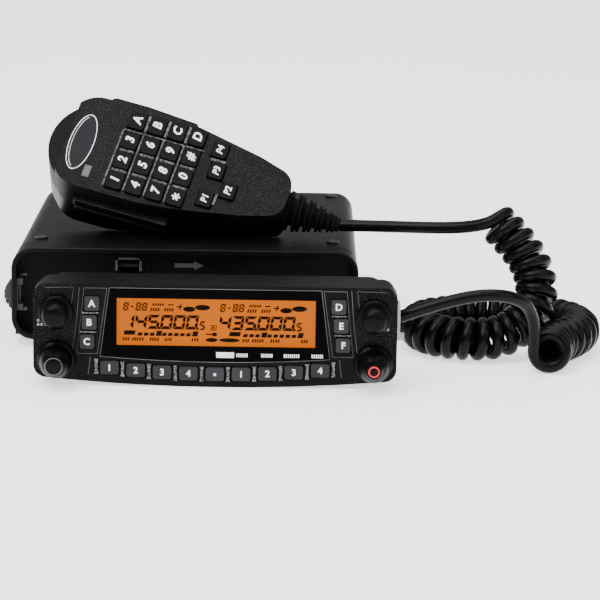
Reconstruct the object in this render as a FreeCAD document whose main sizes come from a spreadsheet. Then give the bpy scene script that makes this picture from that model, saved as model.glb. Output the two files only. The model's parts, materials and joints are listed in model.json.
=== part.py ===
import FreeCAD, Part
import math
import os
import re
import Sketcher
from FreeCAD import Placement, Rotation, Vector

# Mobile transceiver: main unit, detached control head, hand microphone and curly cord.
# Millimetres. X runs to the right, Y to the back, Z up; the origin is the middle of the base.

SIZES = {
    # main unit
    "unit_width": 141.0, "unit_depth": 140.0, "unit_top": 41.5, "rim_bottom": 3.2,
    "rim_wall": 2.0, "rim_radius": 9.0, "tray_recess": 8.0, "tray_length": 10.0,
    "case_width": 140.0, "case_wall": 2.5, "cover_sheet": 1.2, "cover_skirt": 20.0,
    "floor_sheet": 3.0, "fin_width": 2.0, "fin_pitch": 10.0,
    "jack_across": -23.3, "jack_up": 33.5, "lever_middle": -65.9, "lever_round": 7.8,
    "lever_up": 21.5,
    "fan_side": 30.0, "fan_across": -44.0, "fan_up": 22.0, "antenna_across": 0.0,
    "antenna_up": 24.0,
    # control head
    "head_across": 14.5, "head_front": -134.0, "head_width": 140.0, "head_top": 40.0,
    "bezel_length": 10.0, "head_length": 28.0, "head_wall": 2.0, "face_wall": 2.2,
    "nose_width": 131.0, "nose_length": 7.8, "key_travel": 0.7,
    "key_wide": 7.3, "key_tall": 5.3, "key_pitch": 10.15, "side_wide": 5.9,
    "side_tall": 5.7, "knob_across": 61.0, "upper_knob": 29.0, "lower_knob": 10.4,
    # hand microphone, in its own frame before it is laid on the unit
    "mic_across": -7.2, "mic_front": -41.9, "mic_up": 72.0, "mic_tilt": 49.2,
    "mic_rise": 13.3, "mic_turn": 9.2, "mic_thick": 30.0, "mic_split": 17.0,
    "shell_wall": 2.2, "pad_pitch_long": 8.75, "pad_pitch_wide": 9.93, "pad_middle": -6.2,
    "pad_long": 6.6, "pad_wide": 8.1, "memory_long": 6.4, "memory_wide": 7.5,
    "badge_along": -38.3, "badge_over": -1.5, "badge_long": 26.6, "badge_wide": 9.8,
    "step_depth": 4.5, "step_along": -45.0, "boot_from": 50.6, "boot_long": 22.4,
    "boot_low": -11.5,
    # cord
    "coil_size": 17.0, "lead_size": 5.0,
}
UNIT_TOP_CLEARANCE = 0.3

# Route of the curly part, from the head's lead to the microphone's tail.
COIL_ROUTE = [
    (146, -104, 9), (147, -90, 9), (158, -76, 9), (163, -58, 9), (156, -41, 9), (137, -34, 9),
    (113, -36, 9), (96, -48, 9), (96, -71, 9), (111, -84, 9), (130, -80, 9),
    (143, -74, 20), (142.5, -69, 34), (135, -66, 45.5), (125.5, -63, 54.4),
]
LEAD_ROUTE = [
    (86, -118.7, 25.7), (107, -120.5, 34), (128, -121, 36), (140, -107.5, 26), (140, -105, 9),
]
TAIL_ROUTE = [(123.8, -68.8, 54.3), (116.5, -66.5, 50.5), (104, -60, 50.3)]

doc = FreeCAD.newDocument("mobile_transceiver")
sheet = doc.addObject("Spreadsheet::Sheet", "sizes")
NODES = {}


def fill_sheet():
    """Write every driving size into the sheet under a plain-word alias."""
    for row, (alias, value) in enumerate(SIZES.items(), start=1):
        sheet.set("A%d" % row, alias)
        sheet.set("B%d" % row, str(value))
        sheet.setAlias("B%d" % row, alias)
    doc.recompute()


def bound(text):
    """Turn a formula in sheet words into an expression on the sheet."""
    return re.sub(r"[a-z]+(?:_[a-z]+)+", lambda word: "sizes." + word.group(0), str(text))


def size(alias):
    """Read one size back from the sheet."""
    return float(sheet.get(alias))


def place(item, at):
    """Bind an object's position to three formulas."""
    for axis, formula in zip("xyz", at):
        item.setExpression("Placement.Base." + axis, bound(formula))
    return item


def box(name, sizes, at):
    item = doc.addObject("Part::Box", name)
    for prop, formula in zip(("Length", "Width", "Height"), sizes):
        item.setExpression(prop, bound(formula))
    return place(item, at)


def rod(name, radius, length, at, axis="Z"):
    """A cylinder along an axis; 'Y' runs to the back, 'X' to the right."""
    item = doc.addObject("Part::Cylinder", name)
    item.setExpression("Radius", bound(radius))
    item.setExpression("Height", bound(length))
    turns = {"Z": Rotation(), "Y": Rotation(Vector(1, 0, 0), -90), "X": Rotation(Vector(0, 1, 0), 90)}
    item.Placement = Placement(Vector(), turns[axis])
    return place(item, at)


def cut(name, base, tools):
    """Take one tool, or several joined, away from the base."""
    item = doc.addObject("Part::Cut", name)
    item.Base = base
    item.Tool = tools[0] if len(tools) == 1 else fuse(name + "_tools", tools)
    return item


def fuse(name, parts):
    item = doc.addObject("Part::MultiFuse", name)
    item.Shapes = parts
    return item


def rounded(name, base, radius, along):
    """Round the edges of a base that run along one axis."""
    doc.recompute()
    item = doc.addObject("Part::Fillet", name)
    item.Base = base
    chosen = []
    for number, edge in enumerate(base.Shape.Edges, start=1):
        if edge.Curve.TypeId != "Part::GeomLine":
            continue
        heading = (edge.Vertexes[-1].Point - edge.Vertexes[0].Point).normalize()
        if abs(heading.dot(along)) > 0.999:
            chosen.append((number, radius, radius))
    item.Edges = chosen
    return item


def origin_plane(body, role):
    for feature in body.Origin.OriginFeatures:
        if feature.Role == role:
            return feature
    raise RuntimeError("no origin plane " + role)


def new_sketch(body, name, role, across="0", up="0", lift="0"):
    """A sketch on one of the body's origin planes, shifted by formulas."""
    sketch = body.newObject("Sketcher::SketchObject", name)
    sketch.AttachmentSupport = [(origin_plane(body, role), "")]
    sketch.MapMode = "FlatFace"
    for axis, formula in zip("xyz", (across, up, lift)):
        sketch.setExpression("AttachmentOffset.Base." + axis, bound(formula))
    return sketch


def draw_rectangle(sketch, width, height):
    """A rectangle about the sketch's own origin, bound in width and height."""
    corners = [Vector(-5, -3, 0), Vector(5, -3, 0), Vector(5, 3, 0), Vector(-5, 3, 0)]
    for index in range(4):
        sketch.addGeometry(Part.LineSegment(corners[index], corners[(index + 1) % 4]), False)
    for index in range(4):
        sketch.addConstraint(Sketcher.Constraint("Coincident", index, 2, (index + 1) % 4, 1))
    for index, kind in enumerate(("Horizontal", "Vertical", "Horizontal", "Vertical")):
        sketch.addConstraint(Sketcher.Constraint(kind, index))
    sketch.addConstraint(Sketcher.Constraint("Symmetric", 0, 1, 2, 1, -1, 1))
    for kind, side, formula in (("DistanceX", 0, width), ("DistanceY", 1, height)):
        number = sketch.addConstraint(Sketcher.Constraint(kind, side, 1, side, 2, 8.0))
        sketch.setExpression("Constraints[%d]" % number, bound(formula))


def grow(body, kind, name, sketch, length, backwards=False):
    """A Pad or a Pocket of a given length."""
    item = body.newObject("PartDesign::" + kind, name)
    item.Profile = sketch
    item.setExpression("Length", bound(length))
    item.Reversed = backwards
    return item


def round_body(body, base, name, radius, along):
    """Round the straight edges of a feature that run along one axis."""
    doc.recompute()
    item = body.newObject("PartDesign::Fillet", name)
    chosen = []
    for number, edge in enumerate(base.Shape.Edges, start=1):
        if edge.Curve.TypeId != "Part::GeomLine":
            continue
        heading = (edge.Vertexes[-1].Point - edge.Vertexes[0].Point).normalize()
        if abs(heading.dot(along)) > 0.999:
            chosen.append("Edge%d" % number)
    item.Base = (base, chosen)
    item.Radius = radius
    return item


def block_body(name, width, height, length, across, front, up, radius):
    """A block with rounded corners seen from the front, running to the back."""
    body = doc.addObject("PartDesign::Body", name)
    sketch = new_sketch(body, name + "_outline", "XZ_Plane", across, up, "-(%s)" % front)
    draw_rectangle(sketch, width, height)
    pad = grow(body, "Pad", name + "_pad", sketch, length, True)
    round_body(body, pad, name + "_round", radius, Vector(0, 1, 0))
    return body


def turned_body(name, profile, at):
    """A body turned about a line along Y; the profile lists (radius, distance to the front)."""
    body = doc.addObject("PartDesign::Body", name)
    sketch = new_sketch(body, name + "_profile", "XY_Plane")
    points = [Vector(radius, -forward, 0) for radius, forward in profile]
    for index in range(len(points)):
        sketch.addGeometry(Part.LineSegment(points[index], points[(index + 1) % len(points)]), False)
    for index in range(len(points)):
        sketch.addConstraint(Sketcher.Constraint("Coincident", index, 2, (index + 1) % len(points), 1))
    turn = body.newObject("PartDesign::Revolution", name + "_turn")
    turn.Profile = sketch
    turn.ReferenceAxis = (sketch, ["V_Axis"])
    turn.Angle = 360
    place(body, at)
    return body


def keep(name, item):
    """Hand a finished piece in as a node."""
    NODES[name] = item
    return item


# ---------------------------------------------------------------- main unit
def make_front_tray():
    """The shallow plastic tray the head docks in: rim, arrow, jack window, lever slot."""
    body = block_body("front_tray_block", "unit_width", "unit_top - rim_bottom", "tray_length",
                      "0", "-unit_depth / 2", "(unit_top + rim_bottom) / 2", size("rim_radius"))
    hollow = block_body("tray_hollow", "unit_width - 2 * rim_wall",
                        "unit_top - rim_bottom - 2 * rim_wall", "tray_recess + 1", "0",
                        "-unit_depth / 2 - 1", "(unit_top + rim_bottom) / 2",
                        size("rim_radius") - size("rim_wall"))
    window = box("tray_jack_window", ("17.4", "6", "9"),
                 ("jack_across - 8.7", "-unit_depth / 2 + 6", "jack_up - 4.5"))
    slot = box("tray_lever_slot", ("8", "5", "14"),
               ("-unit_width / 2 - 1", "-unit_depth / 2 + 1.5", "lever_up - 7"))
    shell = cut("tray_shell", body, [hollow, window, slot])
    head = doc.addObject("Part::Wedge", "arrow_head")
    head.Xmin, head.Xmax, head.X2min, head.X2max = 0, 0.8, 0, 0.8
    head.Ymin, head.Ymax = 0, 4.2
    head.Zmin, head.Zmax, head.Z2min, head.Z2max = 0, 3.6, 1.75, 1.85
    head.Placement = Placement(Vector(3.4, -61.5, 31.6), Rotation(Vector(0, 0, 1), -90))
    shaft = box("arrow_shaft", ("8", "1", "1.8"), ("-4.5", "-unit_depth / 2 + 7.7", "32.5"))
    clip = box("tray_clip", ("0.9", "3", "4.2"),
               ("unit_width / 2 - rim_wall - 0.7", "-unit_depth / 2 + 1.6", "31"))
    keep("front_tray", fuse("front_tray", [shell, head, shaft, clip]))


def make_chassis():
    """Die-cast chassis: open box with fins under its floor and holes in its back wall."""
    front = "-unit_depth / 2 + tray_length"
    length = "unit_depth - tray_length"
    outer = box("chassis_outer", ("case_width", length, "unit_top - cover_sheet - 0.1 - floor_sheet"),
                ("-case_width / 2", front, "floor_sheet"))
    inner = box("chassis_inner", ("case_width - 2 * case_wall", length + " - 2 * case_wall", "60"),
                ("-case_width / 2 + case_wall", front + " + case_wall", "2 * floor_sheet"))
    step = [box("chassis_step_%s" % side, ("cover_sheet + 0.1", length, "30"),
                (at, front, "cover_skirt"))
            for side, at in (("left", "-case_width / 2"),
                             ("right", "case_width / 2 - cover_sheet - 0.1"))]
    shoulders = [box("chassis_shoulder_%s" % side, ("10", length, "12"),
                     (at, front, "unit_top - 10"))
                 for side, at in (("left", "-case_width / 2 - 1"), ("right", "case_width / 2 - 9"))]
    fins = [box("chassis_fin_%02d" % number, ("fin_width", length, "floor_sheet + 0.2"),
                ("fin_pitch * %g - fin_width / 2" % (number - 6), front, "0"))
            for number in range(13)]
    fan_hole = rod("chassis_fan_hole", "fan_side / 2 - 1.5", "8",
                   ("fan_across", "unit_depth / 2 - 5", "fan_up"), "Y")
    antenna_hole = rod("chassis_antenna_hole", "8.05", "8",
                       ("antenna_across", "unit_depth / 2 - 5", "antenna_up"), "Y")
    jack_holes = [rod("chassis_jack_hole_%d" % number, "3.55", "8",
                      ("%g" % across, "unit_depth / 2 - 5", "26"), "Y")
                  for number, across in enumerate((34, 46))]
    gland_hole = rod("chassis_gland_hole", "5.05", "8",
                     ("60", "unit_depth / 2 - 5", "14"), "Y")
    data_hole = rod("chassis_data_hole", "5.05", "8", ("24", "unit_depth / 2 - 5", "14"), "Y")
    side_holes = [rod("chassis_side_hole_%d_%d" % (side, number), "2", "12",
                      ("%g" % (side * 64 - 6), "%g" % along, "12"), "X")
                  for side in (-1, 1) for number, along in enumerate((-15, 35))]
    pads = [box("chassis_side_pad_%d_%d" % (side, number), ("8", "10", "10"),
                ("%g" % (-69 if side < 0 else 61), "%g" % (along - 5), "6.5"))
            for side in (-1, 1) for number, along in enumerate((-15, 35))]
    opening = box("chassis_cable_window", ("18", "8", "10"),
                  ("jack_across - 9", front + " - 2", "jack_up - 5"))
    hollow = cut("chassis_hollow", outer, [inner] + step + shoulders)
    whole = fuse("chassis_whole", [hollow] + fins + pads)
    keep("chassis", cut("chassis", whole, [fan_hole, antenna_hole, gland_hole, data_hole, opening]
                        + jack_holes + side_holes))


def make_top_cover():
    """Folded sheet cover with rounded shoulders and rows of speaker slots."""
    front = "-unit_depth / 2 + tray_length"
    length = "unit_depth - tray_length"
    outer = rounded("cover_outer", box("cover_outer_block",
                                       ("case_width", length, "unit_top - cover_skirt + 12"),
                                       ("-case_width / 2", front, "cover_skirt - 12")),
                    8.0, Vector(0, 1, 0))
    inner = rounded("cover_inner", box("cover_inner_block",
                                       ("case_width - 2 * cover_sheet", length + " + 2",
                                        "unit_top - cover_skirt + 12 - cover_sheet"),
                                       ("-case_width / 2 + cover_sheet", front + " - 1",
                                        "cover_skirt - 12")),
                    6.8, Vector(0, 1, 0))
    below = box("cover_below", ("case_width + 4", length + " + 4", "12.2"),
                ("-case_width / 2 - 2", front + " - 2", "cover_skirt - 12.1"))
    slots = [box("cover_slot_%02d" % number, ("26", "1.6", "6"),
                 ("-13", "%g" % (2 + 4 * number), "unit_top - 4"))
             for number in range(9)]
    keep("top_cover", cut("top_cover", outer, [inner, below] + slots))


def make_rear_fittings():
    """Fan, antenna socket, power gland and the small sockets in the back wall."""
    back = "unit_depth / 2 - case_wall"
    ring = box("fan_block", ("fan_side", "6", "fan_side"),
               ("fan_across - fan_side / 2", back + " - 6", "fan_up - fan_side / 2"))
    well = rod("fan_well", "fan_side / 2 - 1.5", "5", ("fan_across", back + " - 5", "fan_up"), "Y")
    spokes = [box("fan_spoke_%s" % name, sizes, at) for name, sizes, at in (
        ("flat", ("fan_side - 2", "1", "2"),
         ("fan_across - fan_side / 2 + 1", back + " - 6", "fan_up - 1")),
        ("tall", ("2", "1", "fan_side - 2"),
         ("fan_across - 1", back + " - 6", "fan_up - fan_side / 2 + 1")))]
    through = rod("fan_through", "fan_side / 2 - 1.5", "9",
                  ("fan_across", back + " - 7", "fan_up"), "Y")
    pin = rod("fan_pin", "1", "4", ("fan_across", back + " - 5.5", "fan_up"), "Y")
    frame = cut("fan_ring", ring, [well, through])
    keep("fan_frame", fuse("fan_frame", [frame] + spokes + [pin]))
    hub = rod("fan_hub", "5", "3.6", ("fan_across", back + " - 4.6", "fan_up"), "Y")
    middle = Vector(size("fan_across"), size("unit_depth") / 2 - size("case_wall") - 2.9,
                    size("fan_up"))
    blades = []
    for number in range(7):
        blade = doc.addObject("Part::Box", "fan_blade_%d" % number)
        blade.Length, blade.Width, blade.Height = 8, 0.8, 3.4
        blade.Placement = Placement(
            middle, Rotation(Vector(0, 1, 0), 360.0 / 7 * number).multiply(
                Rotation(Vector(1, 0, 0), 35))).multiply(Placement(Vector(4.2, -0.4, -1.7), Rotation()))
        blades.append(blade)
    bore = rod("fan_bore", "1.06", "9", ("fan_across", back + " - 6", "fan_up"), "Y")
    keep("fan_rotor", cut("fan_rotor", fuse("fan_turning", [hub] + blades), [bore]))
    flange = rod("antenna_flange", "11", "2", ("antenna_across", "unit_depth / 2", "antenna_up"), "Y")
    barrel = rod("antenna_barrel", "7.94", "19",
                 ("antenna_across", "unit_depth / 2 - 6", "antenna_up"), "Y")
    socket = rod("antenna_bore", "5.9", "11",
                 ("antenna_across", "unit_depth / 2 + 4", "antenna_up"), "Y")
    contact = cut("antenna_contact",
                   rod("antenna_post", "3.2", "9",
                       ("antenna_across", "unit_depth / 2 + 2", "antenna_up"), "Y"),
                  [rod("antenna_pin_hole", "2", "9",
                       ("antenna_across", "unit_depth / 2 + 4", "antenna_up"), "Y")])
    keep("antenna_socket", fuse("antenna_socket",
                                [cut("antenna_shell", fuse("antenna_outside", [flange, barrel]), [socket]),
                                 contact]))
    gland = fuse("gland_outside", [
        rod("gland_barrel", "5", "10", ("60", "unit_depth / 2 - 5", "14"), "Y"),
        rod("gland_collar", "6.5", "3", ("60", "unit_depth / 2", "14"), "Y")])
    keep("power_gland", cut("power_gland", gland,
                            [rod("gland_bore", "3", "20", ("60", "unit_depth / 2 - 8", "14"), "Y")]))
    sockets = []
    for number, across in enumerate((34, 46)):
        outside = fuse("jack_outside_%d" % number, [
            rod("jack_barrel_%d" % number, "3.5", "10",
                ("%g" % across, "unit_depth / 2 - 8", "26"), "Y"),
            rod("jack_nut_%d" % number, "4.5", "1.5",
                ("%g" % across, "unit_depth / 2", "26"), "Y")])
        sockets.append(cut("jack_%d" % number, outside,
                           [rod("jack_bore_%d" % number, "1.8", "9",
                                ("%g" % across, "unit_depth / 2 - 5", "26"), "Y")]))
    keep("rear_jacks", fuse("rear_jacks", sockets))
    data = fuse("data_outside", [
        rod("data_barrel", "5", "8", ("24", "unit_depth / 2 - 6", "14"), "Y"),
        rod("data_lip", "6", "1", ("24", "unit_depth / 2", "14"), "Y")])
    keep("data_socket", cut("data_socket", data,
                            [rod("data_bore", "4.2", "6", ("24", "unit_depth / 2 - 3", "14"), "Y")]))


def make_unit_insides():
    """Boards, shields, speaker, panel jack and the release lever."""
    keep("main_board", box("main_board", ("120", "112", "1.6"), ("-60", "-54", "11")))
    posts = [rod("board_post_%d" % number, "3", "5", ("%g" % x, "%g" % y, "6"))
             for number, (x, y) in enumerate(((-58, -48), (58, -48), (-58, 48), (50, 48)))]
    NODES["chassis"] = fuse("chassis_with_posts", [NODES["chassis"]] + posts)
    cans = [box("shield_can_%d" % number, sizes, at) for number, (sizes, at) in enumerate((
        (("44", "50", "9"), ("-60", "-40", "12.6")), (("44", "50", "9"), ("14", "-40", "12.6"))))]
    keep("shield_cans", loose_set("shield_cans", cans))
    cone = fuse("speaker_outside", [rod("speaker_basket", "17", "6", ("0", "18", "30")),
                                    rod("speaker_magnet", "9", "9", ("0", "18", "22"))])
    keep("speaker", cut("speaker", cone, [rod("speaker_dish", "14.5", "3", ("0", "18", "34"))]))
    jack = box("panel_jack_block", ("13", "14", "8.4"), ("jack_across - 6.5", "-63.6", "jack_up - 4.2"))
    hole = box("panel_jack_hole", ("11", "12", "6.6"), ("jack_across - 5.5", "-64", "jack_up - 3.3"))
    flange = box("panel_jack_flange", ("17", "0.8", "8.6"), ("jack_across - 8.5", "-61.4", "jack_up - 4.3"))
    keep("panel_jack", cut("panel_jack", fuse("panel_jack_outside", [jack, flange]), [hole]))
    arm = box("lever_arm", ("4.5", "4.2", "13.2"), ("-unit_width / 2", "-68.1", "lever_up - 6.6"))
    disc = rod("lever_disc", "lever_round", "4.2", ("lever_middle", "-68.1", "lever_up"), "Y")
    inside = box("lever_disc_inside", ("18", "6", "20"),
                 ("-unit_width / 2 + 0.6", "-69", "lever_up - 10"))
    grooves = []
    for number in range(-2, 3):
        reach = size("lever_middle") - math.sqrt(size("lever_round") ** 2 - (2.2 * number) ** 2)
        grooves.append(box("lever_groove_%d" % (number + 2), ("2", "6", "0.7"),
                           ("%g" % (reach - 1.5), "-69", "lever_up + %g" % (2.2 * number - 0.35))))
    bump = cut("lever_bump", disc, [inside] + grooves)
    gap = box("lever_gap", ("3.4", "6", "8"), ("-unit_width / 2 + 2.6", "-69", "lever_up - 4"))
    keep("release_lever", cut("release_lever", fuse("lever_outside", [arm, bump]), [gap]))
    screws = []
    for number, (x, y) in enumerate(((-60, -50), (60, -50), (-60, 60), (60, 60))):
        screws.append(rod("cover_screw_%d" % number, "2.6", "0.8", ("%g" % x, "%g" % y, "unit_top")))
    keep("cover_screws", loose_set("cover_screws", screws))


def loose_set(name, parts):
    """Several identical loose pieces handed in as one node."""
    item = doc.addObject("Part::Compound", name)
    item.Links = parts
    return item


# ---------------------------------------------------------------- control head
def head_at(across, ahead, up):
    """A place given from the head's own middle, face and floor."""
    return ("head_across + (%s)" % across, "head_front + (%s)" % ahead, up)


def draw_head_outline(sketch, inset):
    """Outline with round top corners and a lower edge that sags to the middle."""
    half = size("head_width") / 2 - inset
    top = size("head_top") - inset
    r = 5.0
    c = r * (1 - math.sqrt(0.5))
    low = 3.0 + inset
    points = [(-half + r, top), (half - r, top), (half, top - r), (half, low + r),
              (half - r, low), (-half + r, low), (-half, low + r), (-half, top - r)]
    arcs = {1: (half - c, top - c), 3: (half - c, low + c), 4: (0, inset),
            5: (-half + c, low + c), 7: (-half + c, top - c)}
    vectors = [Vector(x, y, 0) for x, y in points]
    for index in range(8):
        start = vectors[index]
        end = vectors[(index + 1) % 8]
        if index in arcs:
            sketch.addGeometry(Part.Arc(start, Vector(arcs[index][0], arcs[index][1], 0), end), False)
        else:
            sketch.addGeometry(Part.LineSegment(start, end), False)


def head_block(name, inset, ahead, length):
    body = doc.addObject("PartDesign::Body", name)
    sketch = new_sketch(body, name + "_outline", "XZ_Plane", "head_across", "0",
                        "-(head_front + (%s))" % ahead)
    draw_head_outline(sketch, inset)
    grow(body, "Pad", name + "_pad", sketch, length, True)
    return body


def window_plate(name, grow_by, ahead, length):
    """The display window: wider at the foot than at the head."""
    body = doc.addObject("PartDesign::Body", name)
    sketch = new_sketch(body, name + "_outline", "XZ_Plane", "head_across", "0",
                        "-(head_front + (%s))" % ahead)
    g = grow_by
    corners = [Vector(-40.7 - g, 38.6 + g, 0), Vector(40.7 + g, 38.6 + g, 0),
               Vector(44.2 + g, 11.6 - g, 0), Vector(-44.2 - g, 11.6 - g, 0)]
    sketch.addGeometry(Part.LineSegment(corners[0], corners[1]), False)
    sketch.addGeometry(Part.LineSegment(corners[1], corners[2]), False)
    sketch.addGeometry(Part.Arc(corners[2], Vector(0, 9.9 - g, 0), corners[3]), False)
    sketch.addGeometry(Part.LineSegment(corners[3], corners[0]), False)
    grow(body, "Pad", name + "_pad", sketch, length, True)
    return body


def row_height(number):
    """The nine lower keys sit on a shallow arc."""
    return 5.3 + 2.0 * ((number - 4) / 4.0) ** 2


SIDE_KEYS = [(47.4, 32.4), (48.4, 25.0), (49.3, 17.4)]


def make_key(name, across, up, wide, tall):
    """One key cap with rounded corners, standing 1.1 mm proud of the face."""
    body = block_body(name, wide, tall, "4.4", "head_across + (%g)" % across,
                      "head_front - 1.1", "%g" % up, 0.9)
    keep(name, body)
    return box(name + "_gap", (wide + " + 0.5", "8", tall + " + 0.5"),
               head_at("%g - (%s) / 2 - 0.25" % (across, wide), "-2", "%g - (%s) / 2 - 0.25" % (up, tall)))


def make_head():
    """Bezel, window, display, keys, knobs, board, jack and back shell."""
    gaps = []
    for number in range(9):
        gaps.append(make_key("menu_key_%s" % "abcdefghi"[number], (number - 4) * size("key_pitch"),
                             row_height(number), "key_wide", "key_tall"))
    for sign, side in ((-1, "left"), (1, "right")):
        for (across, up), level in zip(SIDE_KEYS, ("top", "middle", "low")):
            gaps.append(make_key("side_key_%s_%s" % (side, level), sign * across, up,
                                 "side_wide", "side_tall"))
    holes = []
    for sign, side in ((-1, "left"), (1, "right")):
        for level, radius in (("upper", "3.55"), ("lower", "3.06")):
            holes.append(rod("shaft_hole_%s_%s" % (side, level), radius, "8",
                             head_at("%d * knob_across" % sign, "-1", level + "_knob"), "Y"))
    outer = head_block("head_outer", 0.0, "0", "bezel_length")
    inner = head_block("head_inner", size("head_wall"), "face_wall", "bezel_length")
    recess = window_plate("window_recess", 0.1, "-1", "2.3")
    opening = box("display_opening", ("77", "8", "19.4"), head_at("-38.5", "-2", "15.6"))
    bezel = cut("bezel_shell", outer, [inner, recess, opening] + gaps + holes)
    ribs = [box("key_rib_%d" % number, ("0.5", "0.6", "5.6"),
                head_at("%g - 0.25" % ((number - 3.5) * size("key_pitch")), "-0.5",
                        "%g" % (row_height(number + 0.5) - 2.8)))
            for number in range(8)]
    keep("head_bezel", fuse("head_bezel", [bezel] + ribs))
    keep("display_window", window_plate("display_window", 0.0, "0.1", "1.1"))
    keep("display_panel", box("display_panel", ("80", "1.8", "21.6"), head_at("-40", "2.2", "14.4")))
    board = box("board_plate", ("132", "1.6", "29.4"), head_at("-66", "4.4", "7.4"))
    encoders = [box("encoder_%s_%s" % (side, level), ("9", "4", "9"),
                    head_at("%d * knob_across - 4.5" % sign, "5.9", level + "_knob - 4.5"))
                for sign, side in ((-1, "left"), (1, "right")) for level in ("upper", "lower")]
    bores = [rod("encoder_bore_%s_%s" % (side, level), radius, "8",
                 head_at("%d * knob_across" % sign, "3", level + "_knob"), "Y")
             for sign, side in ((-1, "left"), (1, "right"))
             for level, radius in (("upper", "3.55"), ("lower", "3.06"))]
    keep("head_board", cut("head_board", fuse("board_outside", [board] + encoders), bores))
    for sign, side in ((-1, "left"), (1, "right")):
        upper = head_at("%d * knob_across" % sign, "0", "upper_knob")
        lower = head_at("%d * knob_across" % sign, "0", "lower_knob")
        keep("squelch_ring_" + side, turned_body("squelch_ring_" + side, [
            (2.6, -8), (3.5, -8), (3.5, 0.3), (6.7, 0.3), (6.7, 2.6), (6.2, 3.2), (2.6, 3.2)], upper))
        keep("volume_knob_" + side, turned_body("volume_knob_" + side, [
            (0, -8), (2.5, -8), (2.5, 3.5), (5.0, 3.5), (4.8, 9.4), (4.2, 10.6), (2.6, 11.3),
            (0, 11.5)], upper))
        keep("dial_knob_" + side, turned_body("dial_knob_" + side, [
            (0, -8), (3, -8), (3, 0.4), (7.5, 0.4), (7.3, 2.4), (6.3, 3.0), (6.1, 10.4),
            (5.3, 11.6), (3.3, 11.9), (3.1, 13.6), (2.6, 14.2), (0, 14.4)], lower))
    flange = head_block("rear_flange", 0.6, "bezel_length", "head_length - bezel_length - nose_length")
    nose = block_body("rear_nose", "nose_width", "33", "nose_length", "head_across",
                      "head_front + head_length - nose_length", "22.3", 6.0)
    hollow = block_body("rear_hollow", "nose_width - 2 * head_wall", "29",
                        "head_length - bezel_length", "head_across",
                        "head_front + bezel_length - head_wall", "22.3", 3.0)
    jack_gap = box("rear_jack_gap", ("20", "8.6", "13.4"), head_at("54", "11", "19"))
    slot = box("rear_connector_slot", ("17", "6", "9"), head_at("-32", "24", "29"))
    rear_holes = [rod("rear_screw_hole_%d" % number, "1.25", "9",
                      head_at("%g" % x, "22", "%g" % z), "Y")
                  for number, (x, z) in enumerate(((-58, 12), (58, 12), (-58, 33), (58, 33)))]
    keep("head_back", cut("head_back", fuse("rear_outside", [flange, nose]),
                          [hollow, jack_gap, slot] + rear_holes))
    screws = [fuse("head_screw_%d" % number, [
        rod("screw_shank_%d" % number, "1.25", "4", head_at("%g" % x, "24.2", "%g" % z), "Y"),
        rod("screw_head_%d" % number, "2.2", "0.8", head_at("%g" % x, "28", "%g" % z), "Y")])
        for number, (x, z) in enumerate(((-58, 12), (58, 12), (-58, 33), (58, 33)))]
    keep("head_screws", loose_set("head_screws", screws))
    jack = box("mic_jack_block", ("14.6", "8.4", "13.2"), head_at("54.8", "11.1", "19.1"))
    hole = box("mic_jack_hole", ("13", "6.7", "11.8"), head_at("57", "11.95", "19.8"))
    keep("mic_jack", cut("mic_jack", jack, [hole]))
    plug = box("mic_plug_block", ("13", "6.6", "11.6"), head_at("58.5", "12", "19.9"))
    latch = box("mic_plug_latch", ("2.9", "1.6", "3"), head_at("70.2", "12", "16.9"))
    keep("mic_plug", fuse("mic_plug", [plug, latch]))


# ---------------------------------------------------------------- hand microphone
def mic_placement():
    """Lay the microphone on its press-to-talk flank, face to the front."""
    turn = Rotation(Vector(0, 0, 1), -size("mic_turn"))
    rise = Rotation(Vector(0, 1, 0), size("mic_rise"))
    tilt = Rotation(Vector(1, 0, 0), size("mic_tilt"))
    return Placement(Vector(size("mic_across"), size("mic_front"), size("mic_up")),
                     turn.multiply(rise).multiply(tilt))


MIC_OUTLINE = [(-45, 16.6), (-41, 20.2), (-34.5, 21.8), (-8, 21.8), (6.5, 20.3), (34.6, 14.6),
               (44, 11.6), (49, 8.4), (50.6, 3.6)]
MIC_END = -52.5
GRIP_RAIL = [(-33, 17), (-33, 22.9), (-31.5, 23.8), (-17, 23.8), (4.3, 22.2), (5.6, 20.6), (5.6, 17)]


def draw_mic_outline(sketch, inset):
    """Broad round head end, straight middle, taper to the cord end."""
    def upper(index):
        x, y = MIC_OUTLINE[index]
        return Vector(x - inset if x > 48 else x + (inset * 0.5 if x < -40 else 0),
                      y - (inset if y > 4 else 0.3 * inset), 0)
    up = [upper(index) for index in range(len(MIC_OUTLINE))]
    down = [Vector(point.x, -point.y, 0) for point in up]
    for side, order in ((up, 1), (down, -1)):
        sketch.addGeometry(Part.Arc(side[0], side[1], side[2]), False)
        for start, end in ((2, 3), (3, 4), (4, 5), (5, 6)):
            sketch.addGeometry(Part.LineSegment(side[start], side[end]), False)
        sketch.addGeometry(Part.Arc(side[6], side[7], side[8]), False)
    sketch.addGeometry(Part.Arc(up[0], Vector(MIC_END + inset, 0, 0), down[0]), False)
    sketch.addGeometry(Part.LineSegment(up[8], down[8]), False)


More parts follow.
